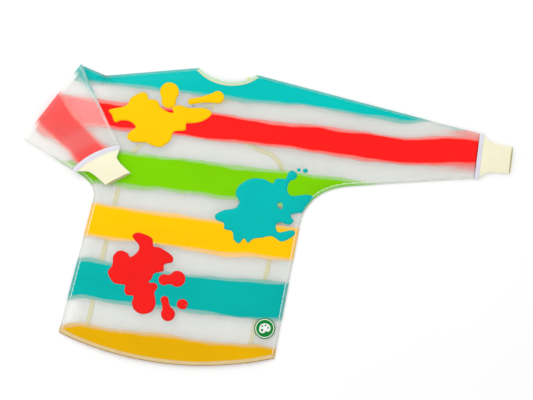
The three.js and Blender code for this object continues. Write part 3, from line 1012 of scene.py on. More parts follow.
YELLOW_MIDDLE = vec(-135, -115)
YELLOW_RIM = (
    (-90, 10), (-59, 22), (-50, 39), (-29, 53), (-18, 48), (-16, 41), (1, 40), (11, 27), (26, 20),
    (37, 20), (33, 30), (47, 36), (67, 33), (98, 36), (113, 27), (98, 11), (79, 4), (65, 1), (64, -12),
    (42, -18), (38, -35), (21, -51), (1, -50), (-11, -46), (-36, -48), (-49, -40), (-44, -28), (-34, -18),
    (-47, -8), (-64, -8), (-76, -13), (-85, 1),
)
TEAL_MIDDLE = vec(100, -260)
TEAL_RIM = (
    (-55, 24), (-49, 38), (-28, 53), (-3, 55), (15, 49), (22, 59), (39, 61), (42, 67), (45, 75), (52, 79),
    (61, 73), (60, 64), (49, 57), (46, 46), (47, 36), (57, 29), (88, 35), (104, 30), (115, 24), (92, 2),
    (60, -8), (66, -21), (57, -29), (41, -26), (32, -32), (39, -46), (66, -39), (71, -48), (48, -64),
    (27, -56), (7, -61), (-10, -66), (-19, -75), (-28, -67), (-37, -78), (-48, -71), (-53, -56),
    (-69, -53), (-72, -41), (-87, -37), (-90, -27), (-75, -16), (-53, -9), (-46, 4), (-54, 16),
)
RED_MIDDLE = vec(-130, -410)
RED_RIM = (
    (-19, 60), (-10, 69), (9, 66), (21, 60), (25, 46), (40, 44), (64, 31), (66, 19), (51, 12), (50, -1),
    (33, -8), (29, -19), (24, -27), (38, -27), (43, -35), (38, -46), (43, -66), (37, -84), (20, -91),
    (4, -86), (-4, -72), (-3, -58), (-17, -57), (-22, -48), (-23, -38), (-45, -36), (-59, -17), (-52, -1),
    (-52, 17), (-41, 29), (-25, 26), (-18, 19), (-5, 31), (-4, 44),
)
# Drops are two round ends with a waist: middle and radius of each end, and the waist's half width.
YELLOW_DROPS = (((-111, -55), 19, (-110, -73), 14.5, 12), ((-14, -54), 12.5, (-66, -69), 6, 7))
TEAL_DROPS = (((163, -178), 3, (165, -178), 3, 3), ((176, -178), 4, (178, -178), 4, 4))
RED_DROPS = (
    ((-50, -423), 16, (-76, -428), 11, 10),
    ((-60, -495), 14, (-70, -468), 8, 8),
    ((-35, -472), 10, (-33, -472), 10, 10),
)
TEAL_HOLE = ((135, -252), 5, (137, -256), 4, 5)


def rounded(points, step=2.0):
    """A closed spline through the points, sampled about every step."""
    points = np.asarray(points, float)
    out = []
    count = len(points)
    for i in range(count):
        a, b, c, d = (points[(i + k) % count] for k in (-1, 0, 1, 2))
        pieces = max(2, round(np.linalg.norm(c - b) / step))
        for t in np.arange(pieces) / pieces:
            bend, twist = 2 * a - 5 * b + 4 * c - d, 3 * b - a - 3 * c + d
            out.append(0.5 * (2 * b + (c - a) * t + bend * t**2 + twist * t**3))
    return np.array(out)


def drop_rim(first, first_radius, second, second_radius, waist):
    """The rim of a drop, clockwise: two circles joined by a neck of the given half width in its middle."""
    a, b = vec(*first), vec(*second)
    way = unit(b - a)
    side = left_of(way)
    span = np.linalg.norm(b - a)
    turns = np.linspace(0, math.pi, 40)
    length = span + first_radius + second_radius
    along = (span + second_radius - first_radius) / 2 - length / 2 * np.cos(turns)
    near = np.sqrt(np.maximum(first_radius**2 - along**2, 0))
    far = np.sqrt(np.maximum(second_radius**2 - (along - span) ** 2, 0))
    share = np.clip(along / span, 0, 1)
    straight = first_radius + (second_radius - first_radius) * share
    neck = straight - 4 * share * (1 - share) * ((first_radius + second_radius) / 2 - waist)
    half = np.maximum.reduce((near, far, np.where((along > 0) & (along < span), neck, 0)))
    upper = a + along[:, None] * way + half[:, None] * side
    lower = a + along[1:-1][::-1, None] * way - half[1:-1][::-1, None] * side
    return np.vstack((upper, lower))


def kept_on_film(rim, middle):
    """The rim drawn in where it would run over the edge of the film."""
    rim = rim.copy()
    ways = units(middle - rim)
    for _ in range(60):
        over = ~inside(rim, FRONT_OUTLINE) | (weld_gap(rim) < 1.5)
        if not over.any():
            break
        rim[over] += ways[over]
    return rim


def print_plate(name, rims, material, lift, thickness, spacing=5.0):
    """Ink or transfer laid on the front ply: rims are (outline, holes)."""
    verts, faces = [], []
    for rim, holes in rims:
        points, triangles = triangulated(rim[::-1], spacing, holes=holes)
        start = sum(len(v) for v in verts)
        verts.append(to_row(lifted(points, front_height(points) + lift)))
        faces.extend(triangles + start)
    mesh = mesh_of(name, np.vstack(verts), faces)
    return thicken(new_object(name, mesh, material), thickness)


# ---------------------------------------------------------------------------------------------------------
# Outlines of the plies.

TUCK_BOTTOM = LEFT_FOLD_BOTTOM + LEFT_INWARD * FOLD_TUCK
TUCK_TOP = LEFT_FOLD_TOP + LEFT_INWARD * FOLD_TUCK
LEFT_RUNS = (LEFT_SIDE, LEFT_UNDERARM[:-1], np.array((TUCK_BOTTOM, TUCK_TOP)), LEFT_SHOULDER[1:])
RIGHT_RUNS = (RIGHT_SHOULDER, RIGHT_UNDERARM, RIGHT_SIDE)


def joined(*runs, step=6.0):
    """One closed outline from runs that meet end to end."""
    points = [resample(run, step) for run in runs]
    merged = np.vstack(points)
    gaps = np.linalg.norm(merged - np.roll(merged, 1, axis=0), axis=1)
    return merged[gaps > 0.3]


BACK_NECK_LEFT = neck_run(-NECK_HALF_WIDTH, FLAP_HINGE_REACH)
BACK_NECK_RIGHT = neck_run(FLAP_HINGE_REACH, NECK_HALF_WIDTH)
BACK_HEM_LEFT = hem_run(-BACK_EDGE_REACH, -HEM_HALF_WIDTH)
BACK_HEM_RIGHT = hem_run(HEM_HALF_WIDTH, BACK_EDGE_REACH)
FLAP_FOOT = vec(-FLAP_REACH, -YOKE_DEPTH)
FLAP_TIP = vec(-FLAP_REACH, neck_y(-FLAP_REACH))

FRONT_OUTLINE = joined(NECK, *RIGHT_RUNS, HEM, *LEFT_RUNS)
BACK_LEFT_OUTLINE = joined(BACK_NECK_LEFT, LEFT_BACK_EDGE, BACK_HEM_LEFT, *LEFT_RUNS)
BACK_RIGHT_OUTLINE = joined(
    BACK_NECK_RIGHT, *RIGHT_RUNS, BACK_HEM_RIGHT, RIGHT_BACK_EDGE, np.array((RIGHT_BACK_EDGE[-1], BACK_TIP))
)
FLAP_OUTLINE = joined(
    neck_run(-FLAP_REACH, FLAP_HINGE_REACH), np.array((BACK_TIP, RIGHT_BACK_EDGE[-1], FLAP_FOOT, FLAP_TIP))
)


def bend_right(piece):
    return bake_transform(piece)


def bend_left(piece):
    """Bakes the piece's place into its mesh: the rows already run from the ply on the surface, up and round
    the fold to the ply on top.
    """
    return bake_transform(piece)


ACROSS = np.linspace(-1, 1, 63)


def forearm_rows(ply, across):
    """Rows of points of the folded forearm's front or back ply, at the places across in -1 to 1.

    The rows start at the ply on the surface, go round the fold, and run on top to the wrist."""
    across = np.asarray(across, float)
    share = (across + 1) / 2
    fold_level = {"front": FOLD_FRONT_LEVEL, "back": FOLD_BACK_LEVEL, "flange": FLANGE_LEVEL}[ply]
    rows, places = [], []
    line = between(LEFT_FOLD_BOTTOM, LEFT_FOLD_TOP, share[:, None])
    reach = HINGE_LEVEL - fold_level
    for turn in np.linspace(0, math.pi, 15)[:-1]:
        inward = FOLD_TUCK - FOLD_BULGE * math.sin(turn)
        level = HINGE_LEVEL - reach * math.cos(turn)
        rows.append(lifted(line + LEFT_INWARD * inward, np.full(len(line), level)))
        places.append(np.column_stack((np.zeros(len(across)), across)))
    for p in np.linspace(0, 1, 49):
        top = (1 - p) ** 2 * LEFT_FOLD_TOP + 2 * p * (1 - p) * LEFT_ELBOW + p**2 * LEFT_WRIST_UP
        bottom = between(LEFT_FOLD_BOTTOM, LEFT_WRIST_DOWN, p)
        span = np.linalg.norm(top - bottom)
        points = between(bottom, top, share[:, None])
        points = points + LEFT_INWARD * FOLD_TUCK * math.exp(-p * LEFT_FOREARM_LENGTH / 6)
        gap = (1 - np.abs(across)) * span / 2
        fold_gap = np.maximum((points - TUCK_BOTTOM) @ LEFT_INWARD, 0)
        wrist_gap = (1 - p) * LEFT_FOREARM_LENGTH
        flange = between(FLANGE_LEVEL, LEFT_CUFF_LEVEL, p**2)
        seam_share = 1 - np.exp(-np.maximum(gap - SEAM_WIDTH, 0) / 12)
        crinkle = wrist_crinkles(share * span, wrist_gap, 1.0 if ply == "front" else 2.5)
        if ply == "front":
            level = between(flange, DOME_LEVEL, seam_share)
            level = between(fold_level, level, 1 - np.exp(-fold_gap / 14)) + 0.8 * crinkle * seam_share
        elif ply == "back":
            level = between(flange, FOLD_BACK_LEVEL + 3.6 * p**1.5, 1 - np.exp(-gap / 10))
            level = between(fold_level, level, 1 - np.exp(-fold_gap / 8))
            soft = smooth(fold_gap, 0, 25) * seam_share
            ridge = (across - 2.6 * p + 1.0) * 24
            level = level - soft * (1.2 * np.exp(-((ridge / 6) ** 2)) + 0.8 * rumple(points, 45, 2.5))
            level = level - 1.3 * crinkle * seam_share
        else:
            level = between(flange, fold_level, np.exp(-fold_gap / 8))
        rows.append(lifted(points, 2 * HINGE_LEVEL - level))
        places.append(np.column_stack((np.full(len(across), p), across)))
    return np.array(rows), np.array(places)


def forearm_pattern(places):
    p, q = places[..., 0], places[..., 1]
    fold_depth = LEFT_FOLD_MIDDLE[1] + q * LEFT_FOLD_LENGTH * 0.36
    wrist_depth = -112 + q * 36
    depth = between(fold_depth, wrist_depth, p)
    return np.stack((LEFT_FOLD_MIDDLE[0] - p * LEFT_FOREARM_LENGTH, depth), -1) * MM


# ---------------------------------------------------------------------------------------------------------
# Cuffs.


def tube_section(half_width, half_height, count):
    """Points round a flattened tube's section, evenly spaced, with their outward normals."""
    turns = np.linspace(0, 2 * math.pi, 721)
    c, s = np.cos(turns), np.sin(turns)
    y = squared(c, 0.75) * half_width
    z = squared(s, 0.6) * half_height
    steps = np.concatenate(([0], np.cumsum(np.hypot(np.diff(y), np.diff(z)))))
    at = np.linspace(0, steps[-1], count, endpoint=False)
    ring = np.column_stack((np.interp(at, steps, y), np.interp(at, steps, z)))
    way = units(np.roll(ring, -1, axis=0) - np.roll(ring, 1, axis=0))
    return ring, np.column_stack((way[:, 1], -way[:, 0]))


def placed(local, start, turn, level):
    """Garment points from a cuff's own frame: along, across and up."""
    way = heading(turn)
    side = left_of(way)
    flat = start + local[:, :1] * way + local[:, 1:2] * side
    return lifted(flat, local[:, 2] + level)


def arched(local, half, arch):
    """Moves points of a cuff's own frame up the sleeve, most in the middle of its width."""
    share = np.clip(1 - (local[:, 1] / half) ** 2, 0, 1) * np.exp(-np.maximum(local[:, 0], 0) / 18)
    return np.column_stack((local[:, 0] - arch * share, local[:, 1:]))


def flat_tube(name, sections, start, turn, level, half_height, material, wall, around, ribs=0, rib_height=0.0,
              arch=0.0, lining=None):
    """A flattened tube with an even wall: sections are (along, half width, sideways drift)."""
    rings, along_uv, ribbing = [], [], []
    last = sections[-1][0]
    for along, half, drift in sections:
        ring, out = tube_section(half, half_height, around)
        rib = np.cos(2 * math.pi * ribs * np.arange(around) / around) if ribs else np.zeros(around)
        ring = ring + out * rib[:, None] * rib_height
        short = CUFF_SHORTER * (along / last) ** 3 * (ring[:, 1] / half_height + 1) / 2 if ribs else 0
        rings.append(np.column_stack((np.full(around, along) - short, ring[:, 0] + drift, ring[:, 1])))
        around_uv = np.arange(around) * 2 * half * 2.1 / around
        along_uv.append(np.column_stack((np.full(around, along), around_uv)))
        ribbing.append((rib + 1) / 2)
    local = arched(np.vstack(rings), sections[0][1], arch)
    points = placed(local, start, turn, level)
    mesh = mesh_of(name, to_row(points), quads(len(sections), around, closed=True))
    set_uv(mesh, "Run", np.vstack(along_uv) * MM)
    set_value(mesh, "Rib", np.concatenate(ribbing))
    return thicken(new_object(name, mesh, material), wall, -1, False, lining)


def cuff_sections(wrist_width, length, drift, steps=44):
    shares = (0, 0.12, 0.28, 0.5, 1)
    end_width = CUFF_END_WIDTH
    halves = (wrist_width / 2 - 2, wrist_width * 0.4, end_width * 0.56, end_width * 0.51, end_width / 2)
    at = np.linspace(0, 1, steps)
    half = np.interp(at, shares, halves)
    for _ in range(3):
        half[1:-1] = (half[:-2] + half[1:-1] * 2 + half[2:]) / 4
    return [(s * length, h, s * drift) for s, h in zip(at, half)]


# ---------------------------------------------------------------------------------------------------------
# Sizes and colours that a user would change.


def tint(label, text, default):
    return FloatVectorProperty(
        name=label, description=text, subtype="COLOR", size=3, min=0, max=1, default=default
    )


def share(label, text, default):
    text = f"Share of the light that one face of {text} stops"
    return FloatProperty(name=label, description=text, subtype="FACTOR", min=0, max=1, default=default)


def millimetres(label, text, default, low, high):
    text = f"{text}, in millimetres"
    return FloatProperty(name=label, description=text, min=low, max=high, default=default)


class SmockFilm(bpy.types.PropertyGroup):
    thickness: millimetres("Thickness", "Thickness of one ply of film", 0.3, 0.1, 1)
    grid: millimetres("Mesh spacing", "Spacing of the film's mesh", 5.0, 2, 20)
    colour: tint("Film", "Where the frosted film catches the light", (0.93, 0.94, 0.92))
    shade_colour: tint("Film shade", "Where the frosted film is in its own shade", (0.8, 0.82, 0.79))
    fold_colour: tint("Folded film", "Where the folded sleeve catches the light", (1.0, 1.0, 0.99))
    # The welds' whiter tone is partly their own denser film and partly painted highlight.
    weld_highlight_colour: tint("Weld", "The welded edges", (1.0, 1.0, 0.99))
    front_alpha: share("Front cover", "the front ply", 0.24)
    back_alpha: share("Back cover", "a back ply", 0.11)
    sleeve_alpha: share("Folded cover", "the folded sleeve", 0.045)
    weld_alpha: share("Weld cover", "a weld", 0.14)


class SmockInks(bpy.types.PropertyGroup):
    teal: tint("Shoulder teal", "The band over the shoulders", (0.0, 0.74, 0.71))
    red: tint("Red", "The band across the chest", (1.0, 0.12, 0.11))
    green: tint("Green", "The band under the arms", (0.48, 0.81, 0.0))
    yellow: tint("Yellow", "The band round the waist", (1.0, 0.77, 0.0))
    low_teal: tint("Lower teal", "The band above the hem", (0.0, 0.69, 0.66))
    amber: tint("Amber", "The band along the hem", (0.9, 0.68, 0.0))
    yellow_splash: tint("Yellow splash", "The splash on the shoulder", (1.0, 0.79, 0.0))
    teal_splash: tint("Teal splash", "The splash under the arm", (0.0, 0.73, 0.71))
    red_splash: tint("Red splash", "The splash at the waist", (0.96, 0.12, 0.11))


class SmockTrims(bpy.types.PropertyGroup):
    neck: tint("Neck binding", "Tape round the neck", (0.93, 0.89, 0.72))
    neck_edge: tint("Neck binding edge", "The turned edge of the neck's tape", (0.74, 0.87, 0.74))
    cream: tint("Cream binding", "Tape down the back edges", (1.0, 0.95, 0.62))
    hem: tint("Hem binding", "Tape round the hem", (0.93, 0.83, 0.6))
    # The hem tape's outer edge, darkened to brown: its turned edge with painted shadow along it.
    hem_edge_and_shadow: tint("Hem binding edge", "The turned edge of the hem's tape", (0.6, 0.42, 0.2))
    knit: tint("Cuff knit", "Rib knit of the cuffs", (0.97, 0.96, 0.87))
    # The inside of the cuffs, darker and more olive than the knit: painted shade in the opening of each cuff.
    lining: tint("Cuff lining", "The inside of the cuffs", (0.9, 0.88, 0.62))
    overlock: tint("Overlock thread", "Thread that joins the cuffs to the sleeves", (0.95, 0.94, 0.98))
    badge: tint("Badge", "The round badge by the hem", (0.05, 0.52, 0.2))
    pitch: millimetres("Stitch pitch", "Length of one stitch and its gap", 3.2, 1, 10)
    ribs: IntProperty(name="Cuff ribs", description="Ribs round a cuff", default=62, min=12, max=120)


class SmockStage(bpy.types.PropertyGroup):
    view_width: FloatProperty(
        name="View width", description="Width of the view on the floor", default=1.066, unit="LENGTH"
    )
    view_turn: FloatProperty(
        name="View turn", description="Turn of the view about the upright", default=math.radians(7),
        subtype="ANGLE",
    )
    fill: FloatProperty(name="Fill light", description="Brightness of the light all round", default=0.93)
    key: FloatProperty(name="Key light", description="Power of the soft lamp", default=16.0, unit="POWER")


# ---------------------------------------------------------------------------------------------------------
# Operators: one for each piece or group of like pieces, and one for the stage.


def binding_path(run, width, height, lift):
    inner = offset(resample(run, 6.0), width / 2)
    across = np.column_stack((normals(inner), np.zeros(len(inner))))
    return lifted(inner, height(inner) + lift), across


class SMOCK_OT_front(bpy.types.Operator):
    """Make the front ply: body and right sleeve in one, printed with bands."""

    bl_idname = "smock.front"
    bl_label = "Front ply"

    def execute(self, context):
        film = context.scene.smock_film
        crinkled = np.vstack((wrist_points(), pinch_points()))
        piece = film_sheet(
            "front_film", FRONT_OUTLINE, front_height, film.grid, film_material(context.scene, "front_film"),
            film.thickness, extra=crinkled,
        )
        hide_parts("front_panel", "sleeve_front_right")
        bend_right(piece)
        return {"FINISHED"}


def wrist_points():
    """A finer grid of points where the right sleeve is gathered into its cuff."""
    xs = np.arange(SLEEVE_REACH - 38, SLEEVE_REACH - 1, 2.2)
    ys = np.arange(WRIST_BOTTOM[1] - 6, WRIST_TOP[1] + 6, 1.6)
    return grid_of(xs, ys)


def pinch_points():
    """A finer grid of points where the left shoulder is pinched."""
    steps = np.arange(-30, 31, 2.0)
    return grid_of(steps, steps) + PINCH


class SMOCK_OT_back(bpy.types.Operator):
    """Make the two back plies and the closure flap under them."""

    bl_idname = "smock.back"
    bl_label = "Back plies and flap"

    def execute(self, context):
        film = context.scene.smock_film
        material = film_material(context.scene, "back_film")
        grid = film.grid * 1.6
        left = film_sheet("back_film_left", BACK_LEFT_OUTLINE, back_height, grid, material, film.thickness)
        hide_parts("back_panel_left")
        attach(left, "root")
        right = film_sheet("back_film_right", BACK_RIGHT_OUTLINE, back_height, grid, material, film.thickness)
        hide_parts("back_panel_right", "sleeve_back_right")
        bend_right(right)
        flap = film_sheet("closure_flap_film", FLAP_OUTLINE, flap_height, grid, material, film.thickness)
        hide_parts("closure_flap")
        bend_flap(flap)
        return {"FINISHED"}


def flap_height(points):
    """The flap lies on the surface and comes up to the yoke that it is joined to."""
    return between(FLAP_LEVEL, BACK_LEVEL, smooth(points[:, 0], FLAP_HINGE_REACH - 14, FLAP_HINGE_REACH))


def bend_flap(piece):
    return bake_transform(piece)


class SMOCK_OT_folded_sleeve(bpy.types.Operator):
    """Make the folded forearm of the left sleeve: its two plies round the fold."""

    bl_idname = "smock.folded_sleeve"
    bl_label = "Folded sleeve"

    def execute(self, context):
        film = context.scene.smock_film
        for ply, kind, node_name in (
            ("front", "forearm_print", "sleeve_front_left"), ("back", "sleeve_film", "sleeve_back_left")
        ):
            rows, places = forearm_rows(ply, ACROSS)
            weld = weld_share((1 - np.abs(places[..., 1])) * FOREARM_HALF_WIDTH)
            values = {"Weld": weld, "Gather": smooth(places[..., 0], 0.7, 0.9), "Roll": np.ones_like(weld)}
            piece = film_piece(
                f"forearm_{ply}_film_left", rows.reshape(-1, 3), quads(*rows.shape[:2]),
                forearm_pattern(places).reshape(-1, 2), values, film_material(context.scene, kind),
                film.thickness,
            )
            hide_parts(node_name)
            bend_left(piece)
        return {"FINISHED"}


class SMOCK_OT_welds(bpy.types.Operator):
    """Make the welded seams along the shoulders, underarms and sides, and round the folded sleeve."""

    bl_idname = "smock.welds"
    bl_label = "Welded seams"

    def execute(self, context):
        material = welded_film("weld_strip", context.scene.smock_film)
        body_seams = (
            ("shoulder_weld_left", LEFT_SHOULDER, ("shoulder_seam_left",)),
            ("underarm_weld_left", LEFT_UNDERARM, ("underarm_seam_left",)),
            ("side_weld_left", LEFT_SIDE, ("side_seam_left",)),
            ("side_weld_right", RIGHT_SIDE, ("side_seam_right",)),
            ("shoulder_weld_right", RIGHT_SHOULDER, ("shoulder_seam_right", "sleeve_top_seam_right")),
            ("underarm_weld_right", RIGHT_UNDERARM, ("underarm_seam_right", "sleeve_under_seam_right")),
        )
        for name, run, nodes in body_seams:
            path, across = binding_path(run, SEAM_WIDTH, front_height, WELD_LIFT)
            piece = sweep(name, path, across, SEAM_WIDTH, WELD_THICKNESS, material)
            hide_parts(*nodes)
            if len(nodes) == 1:
                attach(piece, "root")
            else:
                bend_right(piece)
        for name, side, node_name in (
            ("forearm_top_weld_left", 1, "sleeve_top_seam_left"),
            ("forearm_under_weld_left", -1, "sleeve_under_seam_left"),
        ):
            rows, _ = forearm_rows("flange", side * np.array((0.95, 0.97)))
            across = (rows[:, 1] - rows[:, 0]) * side
            piece = sweep(name, rows[:, 1], across, SEAM_WIDTH, WELD_THICKNESS, material)
            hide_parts(node_name)
            bend_left(piece)
        return {"FINISHED"}


class SMOCK_OT_bindings(bpy.types.Operator):
    """Make the bound edges of the neck, the hem, the back and the flap, with their stitches."""

    bl_idname = "smock.bindings"
    bl_label = "Bindings"

    def execute(self, context):
        trims = context.scene.smock_trims
        neck = bias_binding("neck_tape", trims.neck, trims.neck_edge, NECK_BINDING, 0.65)
        # The cream tape's edge is the cream dimmed: painted shade along its outer edge.
        cream = bias_binding("cream_tape", trims.cream, tuple(c * 0.92 for c in trims.cream), EDGE_BINDING)
        hem = bias_binding("hem_tape", trims.hem, trims.hem_edge_and_shadow, HEM_BINDING)
        thread = soft_thread("binding_thread", (0.8, 0.74, 0.56))
        neck_kind, hem_kind, edge_kind = (NECK_BINDING, neck), (HEM_BINDING, hem), (EDGE_BINDING, cream)
        flap_run = np.array((vec(FLAP_HINGE_REACH - 2, -YOKE_DEPTH), FLAP_FOOT, FLAP_TIP))
        for name, node_name, run, height, (width, material) in (
            ("neck_binding", "neck_binding_front", NECK, front_height, neck_kind),
            ("hem_binding", "hem_binding_front", HEM, front_height, hem_kind),
            ("neck_binding_back_l", "neck_binding_back_left", BACK_NECK_LEFT, back_height, neck_kind),
            ("neck_binding_back_r", "neck_binding_back_right", BACK_NECK_RIGHT, back_height, neck_kind),
            ("hem_binding_back_l", "hem_binding_back_left", BACK_HEM_LEFT, back_height, hem_kind),
            ("hem_binding_back_r", "hem_binding_back_right", BACK_HEM_RIGHT, back_height, hem_kind),
            ("back_edge_tape_l", "back_edge_binding_left", LEFT_BACK_EDGE, back_height, edge_kind),
            ("back_edge_tape_r", "back_edge_binding_right", RIGHT_BACK_EDGE, back_height, edge_kind),
            ("flap_tape", "closure_flap_binding", flap_run, flap_height, edge_kind),
        ):
            path, across = binding_path(run, width, height, 0)
            piece = sweep(name, path, across, width, BINDING_THICKNESS, material)
            inner_row = path + across * (width / 2 - STITCH_INSET) + (0, 0, STITCH_LIFT)
            stitches = stitch_row(
                f"{name}_stitches", inner_row, ways_of(inner_row), thread, trims.pitch, STITCH_LENGTH,
                STITCH_THREAD,
            )
            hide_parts(node_name)
            for made in (piece, stitches):
                if name == "flap_tape":
                    bend_flap(made)
                else:
                    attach(made, "root")
        return {"FINISHED"}


class SMOCK_OT_cuffs(bpy.types.Operator):
    """Make the rib-knit cuffs and the overlocked seams that join them to the sleeves."""

    bl_idname = "smock.cuffs"
    bl_label = "Cuffs"

    def execute(self, context):
        trims = context.scene.smock_trims
        knit = rib_knit("cuff_knit", trims.knit)
        # The cuffs' inner walls take a darker olive: painted shade in their openings.
        lining = soft_thread("cuff_lining", trims.lining, 0.9)
        thread = soft_thread("overlock_thread", trims.overlock)
        left_level = 2 * HINGE_LEVEL - LEFT_CUFF_LEVEL
        for side, wrist, turn, width, length, drift, level, arch in (
            ("right", WRIST_MIDDLE, 0, WRIST_WIDTH, CUFF_LENGTH, 0, RIGHT_CUFF_LEVEL, 0.0),
            ("left", LEFT_WRIST, LEFT_WRIST_TURN - 90, LEFT_WRIST_WIDTH, LEFT_CUFF_LENGTH, LEFT_CUFF_DRIFT,
             left_level, LEFT_CUFF_ARCH),
        ):
            way = heading(turn)
            start = wrist + way * (OVERLOCK_WIDTH - 1.0)
            cuff = flat_tube(
                f"knit_cuff_{side}", cuff_sections(width, length + 1.0, drift), start, turn, level,
                CUFF_HALF_THICKNESS - 0.4, knit, KNIT_THICKNESS, trims.ribs * 4, trims.ribs, RIB_HEIGHT, arch,
                lining,
            )
            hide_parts(f"cuff_{side}")
            half = width / 2
            sections = [(a * OVERLOCK_WIDTH, half + grow, 0) for a, grow in
                        ((0, -1.4), (0.15, -0.4), (0.5, 0), (0.85, -0.4), (1, -1.4))]
            band = flat_tube(f"overlock_band_{side}", sections, wrist, turn, level, CUFF_HALF_THICKNESS - 0.3,
                             thread, OVERLOCK_THICKNESS, 120, arch=arch)
            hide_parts(f"cuff_overlock_{side}")
            ring, _ = tube_section(half + 0.1, CUFF_HALF_THICKNESS - 0.1, 160)
            middle = np.column_stack((np.full(len(ring), OVERLOCK_WIDTH / 2), ring))
            path = placed(arched(middle, half, arch), wrist, turn, level)
            slant = heading(turn + OVERLOCK_SLANT)
            loops = stitch_row(
                f"overlock_loops_{side}", path, np.tile((*slant, 0), (len(path), 1)), thread,
                OVERLOCK_PITCH, OVERLOCK_WIDTH * 0.96, OVERLOCK_THREAD, closed=True,
            )
            for piece, slot in ((cuff, "knit"), (band, "thread"), (loops, "thread")):
                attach(piece, f"forearm_{side}")
        return {"FINISHED"}


class SMOCK_OT_splashes(bpy.types.Operator):
    """Make the three paint splashes printed on the front."""

    bl_idname = "smock.splashes"
    bl_label = "Paint splashes"

    def execute(self, context):
        inks = context.scene.smock_inks
        for name, middle, rim, drops, hole, colour in (
            ("yellow_splash", YELLOW_MIDDLE, YELLOW_RIM, YELLOW_DROPS, None, inks.yellow_splash),
            ("teal_splash", TEAL_MIDDLE, TEAL_RIM, TEAL_DROPS, TEAL_HOLE, inks.teal_splash),
            ("red_splash", RED_MIDDLE, RED_RIM, RED_DROPS, None, inks.red_splash),
        ):
            main = kept_on_film(rounded(np.array(rim) + middle), middle)
            holes = [drop_rim(*hole)] if hole else []
            rims = [(main, holes), *((drop_rim(*drop), []) for drop in drops)]
            piece = print_plate(name, rims, ink_paint(f"{name}_ink", colour), INK_LIFT, INK_THICKNESS)
            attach(piece, "root")
        return {"FINISHED"}


class SMOCK_OT_badge(bpy.types.Operator):
    """Make the round badge by the hem, with a plain palette on it."""

    bl_idname = "smock.badge"
    bl_label = "Badge"

    def execute(self, context):
        middle = laid(HEM_HALF_WIDTH - BADGE_INSET, -BODY_LENGTH + BADGE_HEIGHT)
        low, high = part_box("hem_badge")
        radius = (high.x - low.x) / 2 / MM
        turns = np.linspace(0, 2 * math.pi, 72, endpoint=False)[::-1]
        circle = np.column_stack((np.cos(turns), np.sin(turns)))
        green = ink_paint("badge_green", context.scene.smock_trims.badge)
        disc = print_plate(
            "badge_disc", [(middle + circle * radius, [])], green, INK_LIFT, BADGE_THICKNESS, spacing=3.0
        )
        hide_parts("hem_badge")
        white = ink_paint("badge_white", (0.96, 0.97, 0.95))
        ring = print_plate(
            "badge_ring", [(middle + circle * radius * 0.9, [middle + circle[::-1] * radius * 0.82])], white,
            BADGE_PRINT_LIFT, INK_THICKNESS, spacing=3.0,
        )
        palette_rim = rounded(middle + np.array(PALETTE_RIM), step=1.0)
        wells = [middle + np.array(place) + circle[::-6][::-1] * size for place, size in PALETTE_WELLS]
        palette = print_plate(
            "badge_palette", [(palette_rim, wells)], white, BADGE_PRINT_LIFT, INK_THICKNESS, spacing=2.4
        )
        for piece in (disc, ring, palette):
            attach(piece, "root")
        return {"FINISHED"}


PALETTE_RIM = (
    (-11, -2), (-9, 6), (-2, 10), (6, 9), (11, 4), (11, -3), (7, -6), (3, -5), (1, -8), (-3, -10),
    (-9, -8),
)
PALETTE_WELLS = (((-5.5, 4), 1.8), ((1, 6), 1.8), ((6.5, 2), 1.8), ((-5, -4), 2.6))


class SMOCK_OT_neck_fittings(bpy.types.Operator):
    """Make the label inside the back of the neck and the hook and loop strips of the closure."""

    bl_idname = "smock.neck_fittings"
    bl_label = "Label and closure"

    def execute(self, context):
        satin = soft_thread("label_satin", (0.95, 0.95, 0.94), 0.5, 1500.0)
        mark = soft_thread("label_mark", (0.12, 0.12, 0.13), 0.8, 1500.0)
        tape = soft_thread("closure_tape", (0.93, 0.92, 0.87), 0.9, 1800.0)
        level = back_height(np.array([LABEL_CENTRE]))[0] + LABEL_LIFT
        label = pad("blank_label", LABEL_CENTRE, LABEL_SIZE, level, LABEL_THICKNESS, satin)
        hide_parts("neck_label")
        dashes = [pad(f"label_dash_{i}", LABEL_CENTRE + place, size, level + INK_LIFT, DASH_THICKNESS, mark)
                  for i, (place, size) in enumerate(LABEL_DASHES)]
        hook = pad("hook_tape", STRIP_CENTRE, STRIP_SIZE, HOOK_LEVEL, HOOK_THICKNESS, tape)
        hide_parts("hook_strip")
        loop = pad("loop_tape", STRIP_CENTRE, STRIP_SIZE, LOOP_LEVEL, LOOP_THICKNESS, tape)
        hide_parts("loop_strip")
        for piece, slot, body in (
            (label, "label", "root"), (hook, "closure", "closure"), (loop, "closure", "root"),
            *((dash, "label", "root") for dash in dashes),
        ):
            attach(piece, body)
        return {"FINISHED"}


# Dashes on the label: the place of each from the label's middle, and its size.
LABEL_DASHES = (((-5, -5.5), (9, 2.2)), ((6, -1), (4.5, 3)), ((10.5, 0.5), (4, 2)))


def pad(name, middle, size, level, thickness, material):
    """A flat tape with rounded edges, laid level."""
    half = size[0] / 2
    xs = np.linspace(-half, half, 9)
    path = np.column_stack((middle[0] + xs, np.full(9, middle[1]), np.full(9, level)))
    across = np.tile((0.0, 1.0, 0.0), (9, 1))
    return sweep(name, path, across, size[1], thickness, material, square=0.3)


